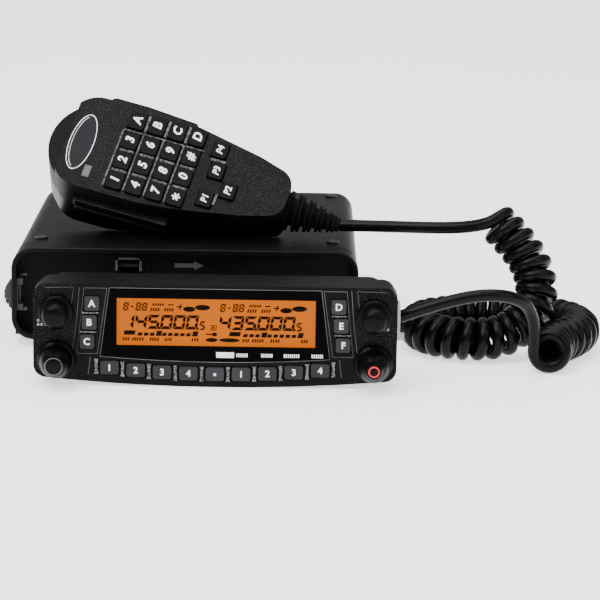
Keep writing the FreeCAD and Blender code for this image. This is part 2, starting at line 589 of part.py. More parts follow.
def mic_block(name, inset, high, low):
    """A slab of the microphone between two depths, trimmed by both sloping flanks."""
    body = doc.addObject("PartDesign::Body", name + "_slab")
    sketch = new_sketch(body, name + "_outline", "XY_Plane", "0", "0", high)
    draw_mic_outline(sketch, inset)
    grow(body, "Pad", name + "_pad", sketch, "(%s) - (%s)" % (high, low), True)
    trims = []
    for side, sign in (("lower", 1), ("upper", -1)):
        trim = doc.addObject("Part::Box", name + "_trim_" + side)
        trim.Length, trim.Width, trim.Height = 300, 300, 60
        ground = size("unit_top") + UNIT_TOP_CLEARANCE + inset
        world = Placement(Vector(-150, -150, ground - 60), Rotation())
        local = mic_placement().inverse().multiply(world)
        if sign < 0:
            local = mirrored(local)
        trim.Placement = local
        trims.append(trim)
    back = doc.addObject("Part::Box", name + "_trim_back")
    back.Length, back.Width, back.Height = 160, 100, 30
    back.Placement = Placement(Vector(-8, -50, -size("mic_thick") + inset - 30),
                               Rotation(Vector(0, 1, 0), -9))
    return cut(name + "_trimmed", body, trims + [back])


def oval_body(name, extra, thick, low):
    """A flat oval set in the microphone's face near its head end."""
    body = doc.addObject("PartDesign::Body", name + "_oval")
    sketch = new_sketch(body, name + "_outline", "XY_Plane", "badge_along", "badge_over", low)
    long = size("badge_long") / 2 + extra
    wide = size("badge_wide") / 2 + extra
    sketch.addGeometry(Part.Ellipse(Vector(0, long, 0), Vector(wide, 0, 0), Vector(0, 0, 0)), False)
    grow(body, "Pad", name + "_pad", sketch, thick)
    return body


def polygon_body(name, points, high, low):
    """A straight-sided slab of the microphone between two depths."""
    body = doc.addObject("PartDesign::Body", name + "_slab")
    sketch = new_sketch(body, name + "_outline", "XY_Plane", "0", "0", high)
    for (x0, y0), (x1, y1) in zip(points, points[1:] + points[:1]):
        sketch.addGeometry(Part.LineSegment(Vector(x0, y0, 0), Vector(x1, y1, 0)), False)
    grow(body, "Pad", name + "_pad", sketch, "(%s) - (%s)" % (high, low), True)
    return body


def mirrored(placement):
    """Place the same half space on the other side of the microphone's middle plane."""
    normal = placement.Rotation.multVec(Vector(0, 0, 1))
    top = placement.multVec(Vector(150, 150, 60))
    flipped = Vector(normal.x, -normal.y, normal.z)
    rotation = Rotation(Vector(0, 0, 1), flipped)
    corner = Vector(top.x, -top.y, top.z) - rotation.multVec(Vector(150, 150, 60))
    return Placement(corner, rotation)


def pad_places():
    """Middles of the sixteen keys of the microphone's keypad."""
    places = []
    for column in range(4):
        for row in range(4):
            places.append((size("pad_middle") + (column - 1.5) * size("pad_pitch_long"),
                           (1.5 - row) * size("pad_pitch_wide")))
    return places


MEMORY_KEYS = {"one": (18.4, -11.9), "two": (26.4, -5.6), "three": (19.1, 2), "four": (17.6, 12)}
TALK_FROM, TALK_TO = -34.4, 5.6


def laid(name, item):
    """Lay a microphone piece, made flat in its own frame, in its place on the unit."""
    item.Placement = mic_placement().multiply(item.Placement)
    return keep(name, item)


def wrap(name, item):
    """A one-piece fuse that can carry the microphone's placement."""
    holder = doc.addObject("Part::Compound", name)
    holder.Links = [item]
    return holder


def make_mic():
    """Shells, keypad, memory keys, press-to-talk bar, board, capsule, stud and boot."""
    gaps = [box("pad_gap_%02d" % number, ("pad_long + 0.5", "pad_wide + 0.5", "8"),
                ("%g - pad_long / 2 - 0.25" % x, "%g - pad_wide / 2 - 0.25" % y, "-5"))
            for number, (x, y) in enumerate(pad_places())]
    gaps += [box("memory_gap_%s" % name, ("memory_long + 0.5", "memory_wide + 0.5", "8"),
                 ("%g - memory_long / 2 - 0.25" % x, "%g - memory_wide / 2 - 0.25" % y, "-5"))
             for name, (x, y) in MEMORY_KEYS.items()]
    talk_gap = box("talk_gap", ("%g" % (TALK_TO - TALK_FROM + 0.8), "8", "8.8"),
                   ("%g" % (TALK_FROM - 0.4), "-27", "-16.1"))
    port = oval_body("badge_recess", 0.1, "2", "-0.6")
    step = box("head_end_step", ("20", "60", "8"), ("step_along - 20", "-30", "-step_depth"))
    rail = polygon_body("grip_rail", GRIP_RAIL, "-1", "-11")
    outer = fuse("mic_front_whole", [mic_block("mic_front_outer", 0.0, "0", "-mic_split"), rail])
    inner = mic_block("mic_front_inner", size("shell_wall"), "-step_depth - shell_wall", "-mic_split - 1")
    pocket = cut("mic_front_pocket", mic_block("mic_front_deep", size("shell_wall"), "-shell_wall",
                                               "-mic_split - 1"),
                 [box("pocket_end", ("20", "60", "30"), ("step_along + shell_wall - 20", "-30", "-29"))])
    laid("mic_front_shell", cut("mic_front_shell", outer, [inner, pocket, talk_gap, port, step] + gaps))
    outer = mic_block("mic_back_outer", 0.0, "-mic_split", "-mic_thick")
    inner = mic_block("mic_back_inner", size("shell_wall"), "-mic_split + 1", "-mic_thick + shell_wall")
    hole = rod("stud_hole", "2.05", "8", ("-26", "0", "-mic_thick - 4"))
    laid("mic_back_shell", cut("mic_back_shell", outer, [inner, hole]))
    mat = box("mat_sheet", ("35", "33.4", "1"), ("pad_middle - 17.5", "-16.7", "-3.3"))
    caps = [rounded("pad_cap_%02d" % number,
                    box("pad_block_%02d" % number, ("pad_long", "pad_wide", "4"),
                        ("%g - pad_long / 2" % x, "%g - pad_wide / 2" % y, "-2.8")),
                    1.0, Vector(0, 0, 1))
            for number, (x, y) in enumerate(pad_places())]
    laid("mic_keypad", fuse("mic_keypad", [mat] + caps))
    for name, (x, y) in MEMORY_KEYS.items():
        block = box("memory_block_" + name, ("memory_long", "memory_wide", "4.2"),
                    ("%g - memory_long / 2" % x, "%g - memory_wide / 2" % y, "-3.1"))
        key = rounded("memory_cap_" + name, block, 1.2, Vector(0, 0, 1))
        laid("memory_key_" + name, wrap("memory_key_" + name, key))
    bar = box("talk_bar_block", ("%g" % (TALK_TO - TALK_FROM), "4.6", "8.2"),
              ("%g" % TALK_FROM, "-24.6", "-15.8"))
    groove = box("talk_groove", ("%g" % (TALK_TO - TALK_FROM + 2), "1.2", "1.4"),
                 ("%g" % (TALK_FROM - 1), "-25", "-13.4"))
    laid("talk_bar", cut("talk_bar", bar, [groove]))
    laid("mic_board", wrap("mic_board", box("mic_board_plate", ("48", "33", "1.6"),
                                            ("-36", "-16.5", "-6.6"))))
    laid("mic_capsule", wrap("mic_capsule", rod("capsule_can", "4.9", "2.6", ("-37.4", "0", "-5"))))
    laid("mic_badge", wrap("mic_badge", oval_body("mic_badge_plate", 0.0, "0.9", "-0.6")))
    stud = fuse("stud_outside", [rod("stud_shank", "2", "6", ("-26", "0", "-mic_thick - 1.8")),
                                 rod("stud_disc", "6", "1.6", ("-26", "0", "-mic_thick - 3.2"))])
    laid("hang_stud", stud)
    cone = doc.addObject("Part::Cone", "boot_cone")
    cone.Radius1, cone.Radius2, cone.Height = 5.4, 3.0, size("boot_long")
    cone.Placement = Placement(Vector(size("boot_from"), 0, size("boot_low")),
                               Rotation(Vector(0, 1, 0), 90))
    ribs = [rod("boot_rib_%d" % number, "%g" % (8.6 - 1.05 * number), "1.9",
                ("boot_from + %g" % (0.2 + 4.4 * number), "0", "boot_low"), "X")
            for number in range(5)]
    laid("mic_boot", fuse("mic_boot", [cone] + ribs))


# ---------------------------------------------------------------- cord
def tube(name, points, diameter):
    """A round tube on straight runs joined by tangent arcs; prints its own check."""
    corners = [Vector(*point) for point in points]
    edges = []
    start = corners[0]
    radii = []
    for before, corner, after in zip(corners, corners[1:], corners[2:]):
        into = corner - before
        out = after - corner
        turn = into.getAngle(out)
        radius = 0.45 * min(into.Length, out.Length) / math.tan(turn / 2)
        radii.append(radius)
        back = radius * math.tan(turn / 2)
        enter = corner - Vector(into).normalize() * back
        leave = corner + Vector(out).normalize() * back
        inward = (Vector(out).normalize() - Vector(into).normalize()).normalize()
        centre = corner + inward * (radius / math.cos(turn / 2))
        middle = centre - inward * radius
        edges.append(Part.LineSegment(start, enter).toShape())
        edges.append(Part.Arc(enter, middle, leave).toShape())
        start = leave
    edges.append(Part.LineSegment(start, corners[-1]).toShape())
    path = Part.Wire(edges)
    heading = (corners[1] - corners[0]).normalize()
    ring = Part.Wire([Part.Circle(corners[0], heading, diameter / 2).toShape()])
    solid = path.makePipeShell([ring], True, True)
    item = doc.addObject("Part::Feature", name)
    item.Shape = solid
    item.Placement = Placement()
    section = math.pi * diameter ** 2 / 4
    print("%s: radii %.1f to %.1f mm, length %.1f mm, volume %.0f of %.0f mm3"
          % (name, min(radii), max(radii), path.Length, solid.Volume, section * path.Length))
    return keep(name, item)


def make_cords():
    """The lead from the plug, the curly part as one fat tube, and the tail to the boot."""
    tube("cord_lead", LEAD_ROUTE, size("lead_size"))
    tube("cord_coil", COIL_ROUTE, size("coil_size"))
    tip = mic_placement().multVec(Vector(size("boot_from") + size("boot_long") + 1.2, 0, size("boot_low")))
    tube("cord_tail", TAIL_ROUTE + [(tip.x, tip.y, tip.z)], size("lead_size"))
    print("tail ends at %.1f %.1f %.1f" % (tip.x, tip.y, tip.z))


def main():
    fill_sheet()
    make_front_tray()
    make_chassis()
    make_top_cover()
    make_rear_fittings()
    make_unit_insides()
    make_head()
    make_mic()
    make_cords()
    doc.recompute()
    for item in doc.Objects:
        if "Invalid" in item.State or "Error" in item.State:
            raise RuntimeError("%s failed: %s" % (item.Name, item.State))
    for name, item in NODES.items():
        shape = item.Shape
        if shape.isNull() or not shape.isValid():
            raise RuntimeError(name + " has a bad shape")
    os.makedirs("parts", exist_ok=True)
    for name, item in NODES.items():
        item.Shape.exportStep("parts/%s.step" % name)
        frame = item.Shape.optimalBoundingBox()
        print("%-22s %2d solid(s) %9.0f mm3  x %.1f %.1f  y %.1f %.1f  z %.1f %.1f" % (
            name, len(item.Shape.Solids), item.Shape.Volume, frame.XMin, frame.XMax,
            frame.YMin, frame.YMax, frame.ZMin, frame.ZMax))
    print("%d nodes" % len(NODES))


main()
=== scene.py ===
import json
import math
import bmesh
import bpy
from mathutils import Matrix, Vector

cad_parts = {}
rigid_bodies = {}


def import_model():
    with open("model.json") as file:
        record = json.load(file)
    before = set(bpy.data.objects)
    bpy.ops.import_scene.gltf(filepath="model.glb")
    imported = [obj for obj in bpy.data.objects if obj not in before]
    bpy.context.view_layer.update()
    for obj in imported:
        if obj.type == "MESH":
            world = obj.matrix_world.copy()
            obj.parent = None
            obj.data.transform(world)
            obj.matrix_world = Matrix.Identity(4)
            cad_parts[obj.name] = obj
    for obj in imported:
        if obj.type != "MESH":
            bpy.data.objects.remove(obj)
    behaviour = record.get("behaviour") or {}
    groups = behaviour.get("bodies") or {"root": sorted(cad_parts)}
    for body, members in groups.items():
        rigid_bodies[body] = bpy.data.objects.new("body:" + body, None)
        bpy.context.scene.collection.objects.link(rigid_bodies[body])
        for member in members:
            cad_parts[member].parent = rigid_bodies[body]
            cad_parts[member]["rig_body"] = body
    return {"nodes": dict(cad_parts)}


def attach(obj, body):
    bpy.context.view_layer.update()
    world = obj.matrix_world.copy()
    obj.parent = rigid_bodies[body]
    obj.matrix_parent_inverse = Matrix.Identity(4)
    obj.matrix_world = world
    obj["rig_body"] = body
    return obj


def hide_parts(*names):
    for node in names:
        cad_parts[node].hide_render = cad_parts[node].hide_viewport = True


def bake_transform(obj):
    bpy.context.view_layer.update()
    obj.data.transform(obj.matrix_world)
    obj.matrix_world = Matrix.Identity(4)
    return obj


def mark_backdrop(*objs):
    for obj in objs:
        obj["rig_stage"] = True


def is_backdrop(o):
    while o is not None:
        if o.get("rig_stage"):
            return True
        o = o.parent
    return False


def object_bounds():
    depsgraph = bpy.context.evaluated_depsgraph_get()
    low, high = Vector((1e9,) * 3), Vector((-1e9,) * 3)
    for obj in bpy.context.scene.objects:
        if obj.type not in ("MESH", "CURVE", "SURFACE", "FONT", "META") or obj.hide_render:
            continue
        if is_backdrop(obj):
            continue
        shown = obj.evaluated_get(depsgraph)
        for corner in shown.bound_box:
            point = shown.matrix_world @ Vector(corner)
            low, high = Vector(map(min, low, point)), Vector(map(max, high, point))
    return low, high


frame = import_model()
AT_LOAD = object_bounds()
NODES = frame["nodes"]
MM = 0.001

# ------------------------------------------------------------------ places
HEAD = Vector((14.5, -134.0, 0.0))
MIC = (Matrix.Translation(Vector((-7.2, -41.9, 72.0)) * MM)
       @ Matrix.Rotation(math.radians(-9.2), 4, "Z")
       @ Matrix.Rotation(math.radians(13.3), 4, "Y")
       @ Matrix.Rotation(math.radians(49.2), 4, "X"))
COIL_ROUTE = [
    (146, -104, 9), (147, -90, 9), (158, -76, 9), (163, -58, 9), (156, -41, 9), (137, -34, 9),
    (113, -36, 9), (96, -48, 9), (96, -71, 9), (111, -84, 9), (130, -80, 9),
    (143, -74, 20), (142.5, -69, 34), (135, -66, 45.5), (125.5, -63, 54.4),
]
LEAD_ROUTE = [
    (86, -118.7, 25.7), (107, -120.5, 34), (128, -121, 36), (140, -107.5, 26), (140, -105, 9),
]
TAIL_ROUTE = [(123.8, -68.8, 54.3), (116.5, -66.5, 50.5), (104, -60, 50.3)]
BOOT_TIP = (73.4, 0, -11.5)
WIRE_RADIUS = 2.5
WIRE_SIDES = 14
WIRE_STEP = 1.2
COIL_RADIUS = 6.3
COIL_PITCH = 5.7
TURN_POINTS = 26
LOOK_AHEAD = 20
KEY_PITCH = 10.15
KEY_FACE = 1.14
KNOB_ACROSS = 61
UPPER_KNOB, LOWER_KNOB = 29.0, 10.4
FIGURE_THICK = 0.04


# ------------------------------------------------------------------ camera
def make_camera():
    """A long lens, 12 degrees above the table and almost square to the front."""
    data = bpy.data.cameras.new("camera")
    data.sensor_width = 36.0
    data.lens = 168.0
    camera = show("camera", data)
    turn = Matrix.Rotation(math.radians(78.0), 4, "X") @ Matrix.Rotation(math.radians(0.9), 4, "Z")
    camera.matrix_world = Matrix.Translation((0.0469, -1.1838, 0.2581)) @ turn
    bpy.context.scene.camera = camera


# ------------------------------------------------------------------ materials
class Nodes:
    """A small helper that builds one node material."""

    def __init__(self, name):
        self.material = bpy.data.materials.new(name)
        self.material.use_nodes = True
        self.tree = self.material.node_tree
        self.shader = self.tree.nodes["Principled BSDF"]
        self.place = self.add("ShaderNodeTexCoord").outputs["Object"]

    def add(self, kind, **values):
        node = self.tree.nodes.new(kind)
        for key, value in values.items():
            if hasattr(node, key):
                setattr(node, key, value)
            else:
                node.inputs[key.replace("_", " ")].default_value = value
        return node

    def link(self, a, b):
        self.tree.links.new(a, b)

    def noise(self, scale, detail=3.0, stretch=None):
        node = self.add("ShaderNodeTexNoise", Scale=scale, Detail=detail)
        source = self.place
        if stretch:
            mapping = self.add("ShaderNodeMapping", Scale=stretch)
            self.link(self.place, mapping.inputs["Vector"])
            source = mapping.outputs["Vector"]
        self.link(source, node.inputs["Vector"])
        return node.outputs["Fac"]

    def voronoi(self, scale, feature="F1"):
        node = self.add("ShaderNodeTexVoronoi", feature=feature, Scale=scale)
        self.link(self.place, node.inputs["Vector"])
        return node.outputs["Distance"]

    def ramp(self, source, low, high, start=0.3, end=0.7):
        node = self.add("ShaderNodeValToRGB")
        node.color_ramp.elements[0].position = start
        node.color_ramp.elements[0].color = tuple(low) + (1.0,)
        node.color_ramp.elements[1].position = end
        node.color_ramp.elements[1].color = tuple(high) + (1.0,)
        self.link(source, node.inputs["Fac"])
        return node.outputs["Color"]

    def span(self, source, low, high):
        node = self.add("ShaderNodeMapRange")
        node.inputs["To Min"].default_value = low
        node.inputs["To Max"].default_value = high
        self.link(source, node.inputs["Value"])
        return node.outputs["Result"]

    def math(self, operation, a, b=None):
        node = self.add("ShaderNodeMath", operation=operation)
        for index, value in enumerate((a, b)):
            if value is None:
                continue
            if isinstance(value, (int, float)):
                node.inputs[index].default_value = value
            else:
                self.link(value, node.inputs[index])
        return node.outputs["Value"]

    def bump(self, height, strength, distance):
        node = self.add("ShaderNodeBump")
        node.inputs["Strength"].default_value = strength
        node.inputs["Distance"].default_value = distance
        self.link(height, node.inputs["Height"])
        self.link(node.outputs["Normal"], self.shader.inputs["Normal"])
        return node

    def patchy(self, grain):
        """Grain that comes and goes in wide patches."""
        patches = self.math("SUBTRACT", self.noise(40.0, 2.0), 0.5)
        return self.math("ADD", grain, self.math("MULTIPLY", patches, 0.12))

    def mix(self, factor, low, high):
        """The first colour where factor is 0, the second where it is 1."""
        node = self.add("ShaderNodeMix", data_type="RGBA")
        for index, source in ((0, factor), (6, low), (7, high)):
            self.link(source, node.inputs[index])
        return node.outputs[2]

    def shine(self, value):
        self.shader.inputs["Specular IOR Level"].default_value = value

    def glow(self, colour, strength):
        self.shader.inputs["Emission Color"].default_value = tuple(colour) + (1.0,)
        self.shader.inputs["Emission Strength"].default_value = strength

    def colour(self, socket):
        self.link(socket, self.shader.inputs["Base Color"])

    def rough(self, socket):
        self.link(socket, self.shader.inputs["Roughness"])


def tint(colour, factor):
    return tuple(min(1.0, channel * factor) for channel in colour)


def coated(name, colour, rough, grain, depth, metallic=0.0, spread=0.25, coat=0.0, shine=0.35):
    """Paint or plastic: cloudy tone, uneven gloss and a fine grain."""
    n = Nodes(name)
    cloud = n.noise(55.0, 4.0)
    n.colour(n.ramp(cloud, tint(colour, 1 - spread), tint(colour, 1 + spread)))
    n.rough(n.span(n.noise(240.0, 2.0), rough - 0.06, rough + 0.06))
    n.shader.inputs["Metallic"].default_value = metallic
    n.shine(shine)
    n.shader.inputs["Coat Weight"].default_value = coat
    n.shader.inputs["Coat Roughness"].default_value = 0.12
    n.bump(n.noise(grain, 2.0), 0.35, depth)
    return n.material


def speckled(name, low, high, scale, rough, depth, shine, start=0.5, end=0.72):
    """Moulded plastic with a spark-eroded grain: pale specks on a dark ground."""
    n = Nodes(name)
    grain = n.noise(scale, 1.0)
    n.colour(n.ramp(n.patchy(grain), low, high, start, end))
    n.rough(n.span(grain, rough - 0.05, rough + 0.1))
    n.shine(shine)
    n.bump(grain, 0.5, depth)
    return n.material


def brushed(name, colour, rough):
    """Metal with fine streaks along x."""
    n = Nodes(name)
    streak = n.noise(900.0, 2.0, (0.05, 1.0, 1.0))
    n.colour(n.ramp(streak, tint(colour, 0.82), tint(colour, 1.1)))
    n.rough(n.span(n.noise(500.0, 2.0), rough - 0.07, rough + 0.09))
    n.shader.inputs["Metallic"].default_value = 1.0
    n.bump(streak, 0.15, 0.00005)
    return n.material


def board_material():
    """Green board with a grid of tracks."""
    n = Nodes("circuit_board")
    brick = n.add("ShaderNodeTexBrick", Scale=140.0)
    brick.inputs["Color1"].default_value = (0.02, 0.13, 0.05, 1)
    brick.inputs["Color2"].default_value = (0.03, 0.17, 0.07, 1)
    brick.inputs["Mortar"].default_value = (0.10, 0.26, 0.10, 1)
    n.link(n.place, brick.inputs["Vector"])
    n.colour(brick.outputs["Color"])
    n.rough(n.span(n.noise(300.0), 0.3, 0.45))
    n.bump(brick.outputs["Fac"], 0.3, 0.0001)
    return n.material


def head_material():
    """Smooth satin plastic in the middle, leather grain at both ends of the head."""
    n = Nodes("head_plastic_grained")
    axis = n.add("ShaderNodeSeparateXYZ")
    n.link(n.place, axis.inputs["Vector"])
    off = n.math("ABSOLUTE", n.math("SUBTRACT", axis.outputs["X"], 0.0145))
    ends = n.math("MULTIPLY", n.math("GREATER_THAN", off, 0.0535),
                  n.math("LESS_THAN", axis.outputs["Y"], -0.1335))
    leather = n.math("SUBTRACT", n.voronoi(1000.0, "SMOOTH_F1"), n.noise(1500.0))
    smooth = n.math("MULTIPLY", n.noise(1800.0), 0.18)
    height = n.math("ADD", n.math("MULTIPLY", leather, ends), smooth)
    cloud = n.noise(60.0, 4.0)
    satin = n.ramp(cloud, (0.002, 0.002, 0.0022), (0.0038, 0.0038, 0.0042))
    flecks = n.ramp(n.noise(1500.0, 2.0), (0.002, 0.002, 0.0022), (0.03, 0.03, 0.032), 0.52, 0.74)
    n.colour(n.mix(ends, satin, flecks))
    n.rough(n.span(n.noise(260.0, 2.0), 0.36, 0.48))
    n.shine(0.07)
    n.bump(height, 0.7, 0.00014)
    return n.material


def mic_material():
    """Speckled grain on the face and flanks, smooth and darker past the step at the head end."""
    n = Nodes("mic_plastic")
    across = MIC.col[0].xyz
    along = n.add("ShaderNodeVectorMath", operation="DOT_PRODUCT")
    n.link(n.place, along.inputs[0])
    along.inputs[1].default_value = across
    face = n.math("GREATER_THAN", along.outputs["Value"], MIC.translation.dot(across) - 0.0448)
    grain = n.noise(2200.0, 1.0)
    specks = n.ramp(n.patchy(grain), (0.002, 0.002, 0.0022), (0.03, 0.03, 0.0315), 0.52, 0.76)
    smooth = n.ramp(n.noise(50.0), (0.0016, 0.0016, 0.0017), (0.003, 0.003, 0.0032))
    n.colour(n.mix(face, smooth, specks))
    n.rough(n.span(grain, 0.4, 0.55))
    n.shine(0.08)
    n.bump(n.math("MULTIPLY", grain, face), 0.5, 0.0001)
    return n.material


def display_material():
    """Back-lit orange film, brighter in the middle, with a faint pixel weave."""
    n = Nodes("display_orange")
    cloud = n.noise(14.0, 1.0)
    weave = n.noise(2600.0, 1.0)
    tone = n.ramp(n.math("ADD", cloud, n.math("MULTIPLY", weave, 0.12)),
                  (0.74, 0.155, 0.0), (0.88, 0.195, 0.0), 0.25, 0.85)
    n.shader.inputs["Base Color"].default_value = (0.06, 0.012, 0.0, 1.0)
    n.link(tone, n.shader.inputs["Emission Color"])
    n.shader.inputs["Emission Strength"].default_value = 1.0
    n.shader.inputs["Roughness"].default_value = 0.5
    n.shine(0.1)
    return n.material


def clear_material(name, colour, alpha, rough, shine=0.5):
    """Clear plastic, see-through by its alpha."""
    n = Nodes(name)
    n.colour(n.ramp(n.noise(90.0), tint(colour, 0.9), colour))
    n.rough(n.span(n.noise(400.0), max(0.0, rough - 0.02), rough + 0.04))
    n.shader.inputs["Alpha"].default_value = alpha
    n.shine(shine)
    n.shader.inputs["IOR"].default_value = 1.49
    n.bump(n.noise(120.0), 0.05, 0.0001)
    return n.material


def mark_material(name, colour, glow=0.0, shine=0.3):
    """Print, with a slight painted glow where asked: an emission that brightens the print though it is
    no lamp.
    """
    n = Nodes(name)
    n.colour(n.ramp(n.noise(800.0), tint(colour, 0.88), colour))
    n.rough(n.span(n.noise(500.0), 0.35, 0.5))
    n.bump(n.noise(2500.0), 0.1, 0.00003)
    n.shine(shine)
    # Painted glow: emission on print that is no lamp.
    if glow:
        n.glow(colour, glow)
    return n.material


def cord_material():
    """The cord's smooth black jacket."""
    n = Nodes("cord_jacket")
    n.colour(n.ramp(n.noise(120.0), (0.001, 0.001, 0.0011), (0.002, 0.002, 0.0022)))
    n.rough(n.span(n.noise(500.0), 0.22, 0.32))
    n.shine(0.1)
    n.bump(n.noise(1500.0), 0.12, 0.00006)
    return n.material


def make_materials():
    return {
        "paint": coated("satin_paint", (0.0035, 0.0035, 0.0039), 0.42, 1500.0, 0.00006, shine=0.07),
        "cast": coated("cast_paint", (0.008, 0.008, 0.0085), 0.5, 900.0, 0.00012, shine=0.25),
        "tray": coated("tray_plastic", (0.003, 0.003, 0.0033), 0.45, 1400.0, 0.00008, shine=0.08),
        "head": head_material(),
        "mic": mic_material(),
        "mic_back": coated("mic_back_plastic", (0.002, 0.002, 0.0022), 0.36, 900.0, 0.00006,
                           shine=0.14),
        "speckle": speckled("speckled_grey", (0.012, 0.012, 0.0125), (0.13, 0.13, 0.135), 900.0, 0.45,
                            0.00012, 0.25, 0.4, 0.65),
        "divider": speckled("divider_grey", (0.01, 0.01, 0.0105), (0.2, 0.2, 0.205), 1500.0, 0.45,
                            0.00012, 0.2, 0.4, 0.62),
        "dark": coated("dark_plastic", (0.002, 0.002, 0.0022), 0.4, 1500.0, 0.00006, shine=0.12),
        "talk": coated("talk_plastic", (0.003, 0.003, 0.0033), 0.3, 1700.0, 0.00005, shine=0.25),
        "key": coated("key_grey", (0.022, 0.0225, 0.025), 0.42, 1700.0, 0.00006, shine=0.15),
        "pad": coated("pad_rubber", (0.002, 0.002, 0.0022), 0.5, 1500.0, 0.00006, shine=0.08),
        "gloss": coated("knob_gloss", (0.0015, 0.0015, 0.0016), 0.34, 700.0, 0.00002, coat=0.02,
                        shine=0.07),
        "frame": coated("window_black", (0.0004, 0.0004, 0.00045), 0.2, 300.0, 0.00001, shine=0.02),
        "boot": coated("boot_rubber", (0.0028, 0.0028, 0.003), 0.85, 1200.0, 0.00008, shine=0.1),
        "violet": coated("badge_violet", (0.011, 0.0105, 0.014), 0.35, 1200.0, 0.00004, shine=0.1),
        "rib": coated("rib_grey", (0.11, 0.11, 0.115), 0.4, 1500.0, 0.0001, metallic=0.2, spread=0.6),
        "arrow": coated("arrow_grey", (0.06, 0.06, 0.06), 0.5, 1500.0, 0.00004),
        "lever": coated("lever_grey", (0.014, 0.014, 0.015), 0.4, 1500.0, 0.00006),
        "bracket": coated("bracket_pale", (0.07, 0.07, 0.072), 0.4, 1500.0, 0.00006),
        "nickel": brushed("nickel_plate", (0.7, 0.68, 0.64), 0.25),
        "tin": brushed("tin_plate", (0.62, 0.62, 0.62), 0.35),
        "screw": brushed("black_screw", (0.05, 0.05, 0.052), 0.4),
        "silver": brushed("silver_edge", (0.62, 0.62, 0.64), 0.22),
        "board": board_material(),
        "display": display_material(),
        "segment": mark_material("display_segment", (0.004, 0.0015, 0.0005), shine=0.05),
        # White print with a painted glow of 0.25 on top of its own colour.
        "white": mark_material("white_print", (0.85, 0.85, 0.85), 0.25),
        # Grey print for the knob labels, also used for the painted highlight ring on the left dial's
        # cap.
        "grey_print_and_highlight": mark_material("grey_print_and_highlight", (0.3, 0.3, 0.31)),
        # Red print with a painted glow of 0.1 on top of its own colour.
        "red": mark_material("red_print", (0.6, 0.02, 0.015), 0.1),
        "pane": clear_material("window_pane", (0.02, 0.01, 0.004), 0.02, 0.03, 0.02),
        "clear": clear_material("clear_plug", (0.5, 0.52, 0.54), 0.72, 0.08),
        "brass": brushed("contact_gold", (0.8, 0.55, 0.2), 0.25),
        "cord": cord_material(),
    }


# ------------------------------------------------------------------ mesh tools
def show(name, data):
    """Put a mesh, curve, light or camera in the scene."""
    piece = bpy.data.objects.new(name, data)
    bpy.context.scene.collection.objects.link(piece)
    return piece


def dress(mesh, material):
    mesh.materials.clear()
    mesh.materials.append(M[material])


def link_mesh(name, mesh, material, body=None, smooth=None):
    """Put a mesh in the scene with a material; it rides on a body."""
    piece = show(name, mesh)
    dress(mesh, material)
    if smooth is not None:
        mesh.polygons.foreach_set("use_smooth", [True] * len(mesh.polygons))
        mesh.set_sharp_from_angle(angle=math.radians(smooth))
    if body:
        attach(piece, body)
    return piece


def soften(node, material, width, segments=2):
    """Show a CAD node as a copy with its sharp edges slightly rounded."""
    source = NODES[node]
    mesh = source.data.copy()
    shape = bmesh.new()
    shape.from_mesh(mesh)
    bmesh.ops.remove_doubles(shape, verts=shape.verts, dist=2e-6)
    bmesh.ops.dissolve_limit(shape, angle_limit=math.radians(0.8), verts=shape.verts,
                             edges=shape.edges)
    shape.to_mesh(mesh)
    shape.free()
    piece = link_mesh("v_" + node, mesh, material, source["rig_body"], 35)
    bevel = piece.modifiers.new("edge", "BEVEL")
    bevel.width = width * MM
    bevel.segments = segments
    bevel.limit_method = "ANGLE"
    bevel.angle_limit = math.radians(35)
    bevel.harden_normals = True
    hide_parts(node)
    return piece


def plain(node, material):
    """Give a CAD node its material as it is."""
    dress(NODES[node].data, material)


def mesh_from(name, points, faces):
    mesh = bpy.data.meshes.new(name)
    mesh.from_pydata([tuple(point) for point in points], [], faces)
    mesh.validate()
    mesh.update()
    return mesh


class Sheetwork:
    """Collects flat shapes and boxes in millimetres, placed by a matrix in metres."""

    def __init__(self, place=None):
        self.place = place or Matrix.Identity(4)
        self.points = []
        self.faces = []

    def add(self, points, faces):
        start = len(self.points)
        self.points += [self.place @ (Vector(point) * MM) for point in points]
        self.faces += [[start + index for index in face] for face in faces]

    def box(self, low, high):
        x0, y0, z0 = low
        x1, y1, z1 = high
        self.add([(x0, y0, z0), (x1, y0, z0), (x1, y1, z0), (x0, y1, z0),
                  (x0, y0, z1), (x1, y0, z1), (x1, y1, z1), (x0, y1, z1)],
                 [(0, 3, 2, 1), (4, 5, 6, 7), (0, 1, 5, 4), (1, 2, 6, 5), (2, 3, 7, 6), (3, 0, 4, 7)])

    def prism(self, outline, low, high):
        """A flat outline (x, y) given a thickness along the local z."""
        count = len(outline)
        points = [(x, y, low) for x, y in outline] + [(x, y, high) for x, y in outline]
        faces = [tuple(range(count))[::-1], tuple(range(count, 2 * count))]
        faces += [(i, (i + 1) % count, count + (i + 1) % count, count + i) for i in range(count)]
        self.add(points, faces)

    def plate(self, x, y, wide, tall, high):
        """A thin rectangle; x, y is its lower left corner."""
        self.prism([(x, y), (x + wide, y), (x + wide, y + tall), (x, y + tall)], 0.0, high)

    def finish(self, name, material, body):
        return link_mesh(name, mesh_from(name, self.points, self.faces), material, body)


def face_place(at):
    """Local x to the right, local y up, local z out of the head's face; `at` in millimetres."""
    return Matrix.Translation(Vector(at) * MM) @ Matrix.Rotation(math.radians(90), 4, "X")


def shape_of(name, curve):
    """The mesh that a curve or a text shows."""
    carrier = show(name, curve)
    bpy.context.view_layer.update()
    graph = bpy.context.evaluated_depsgraph_get()
    mesh = bpy.data.meshes.new_from_object(carrier.evaluated_get(graph))
    bpy.data.objects.remove(carrier)
    return mesh


def head_sheet(back=0.0, up=0.0):
    """Sheetwork on the head's front plane, or a little behind it."""
    return Sheetwork(face_place((HEAD.x, HEAD.y + back, up)))


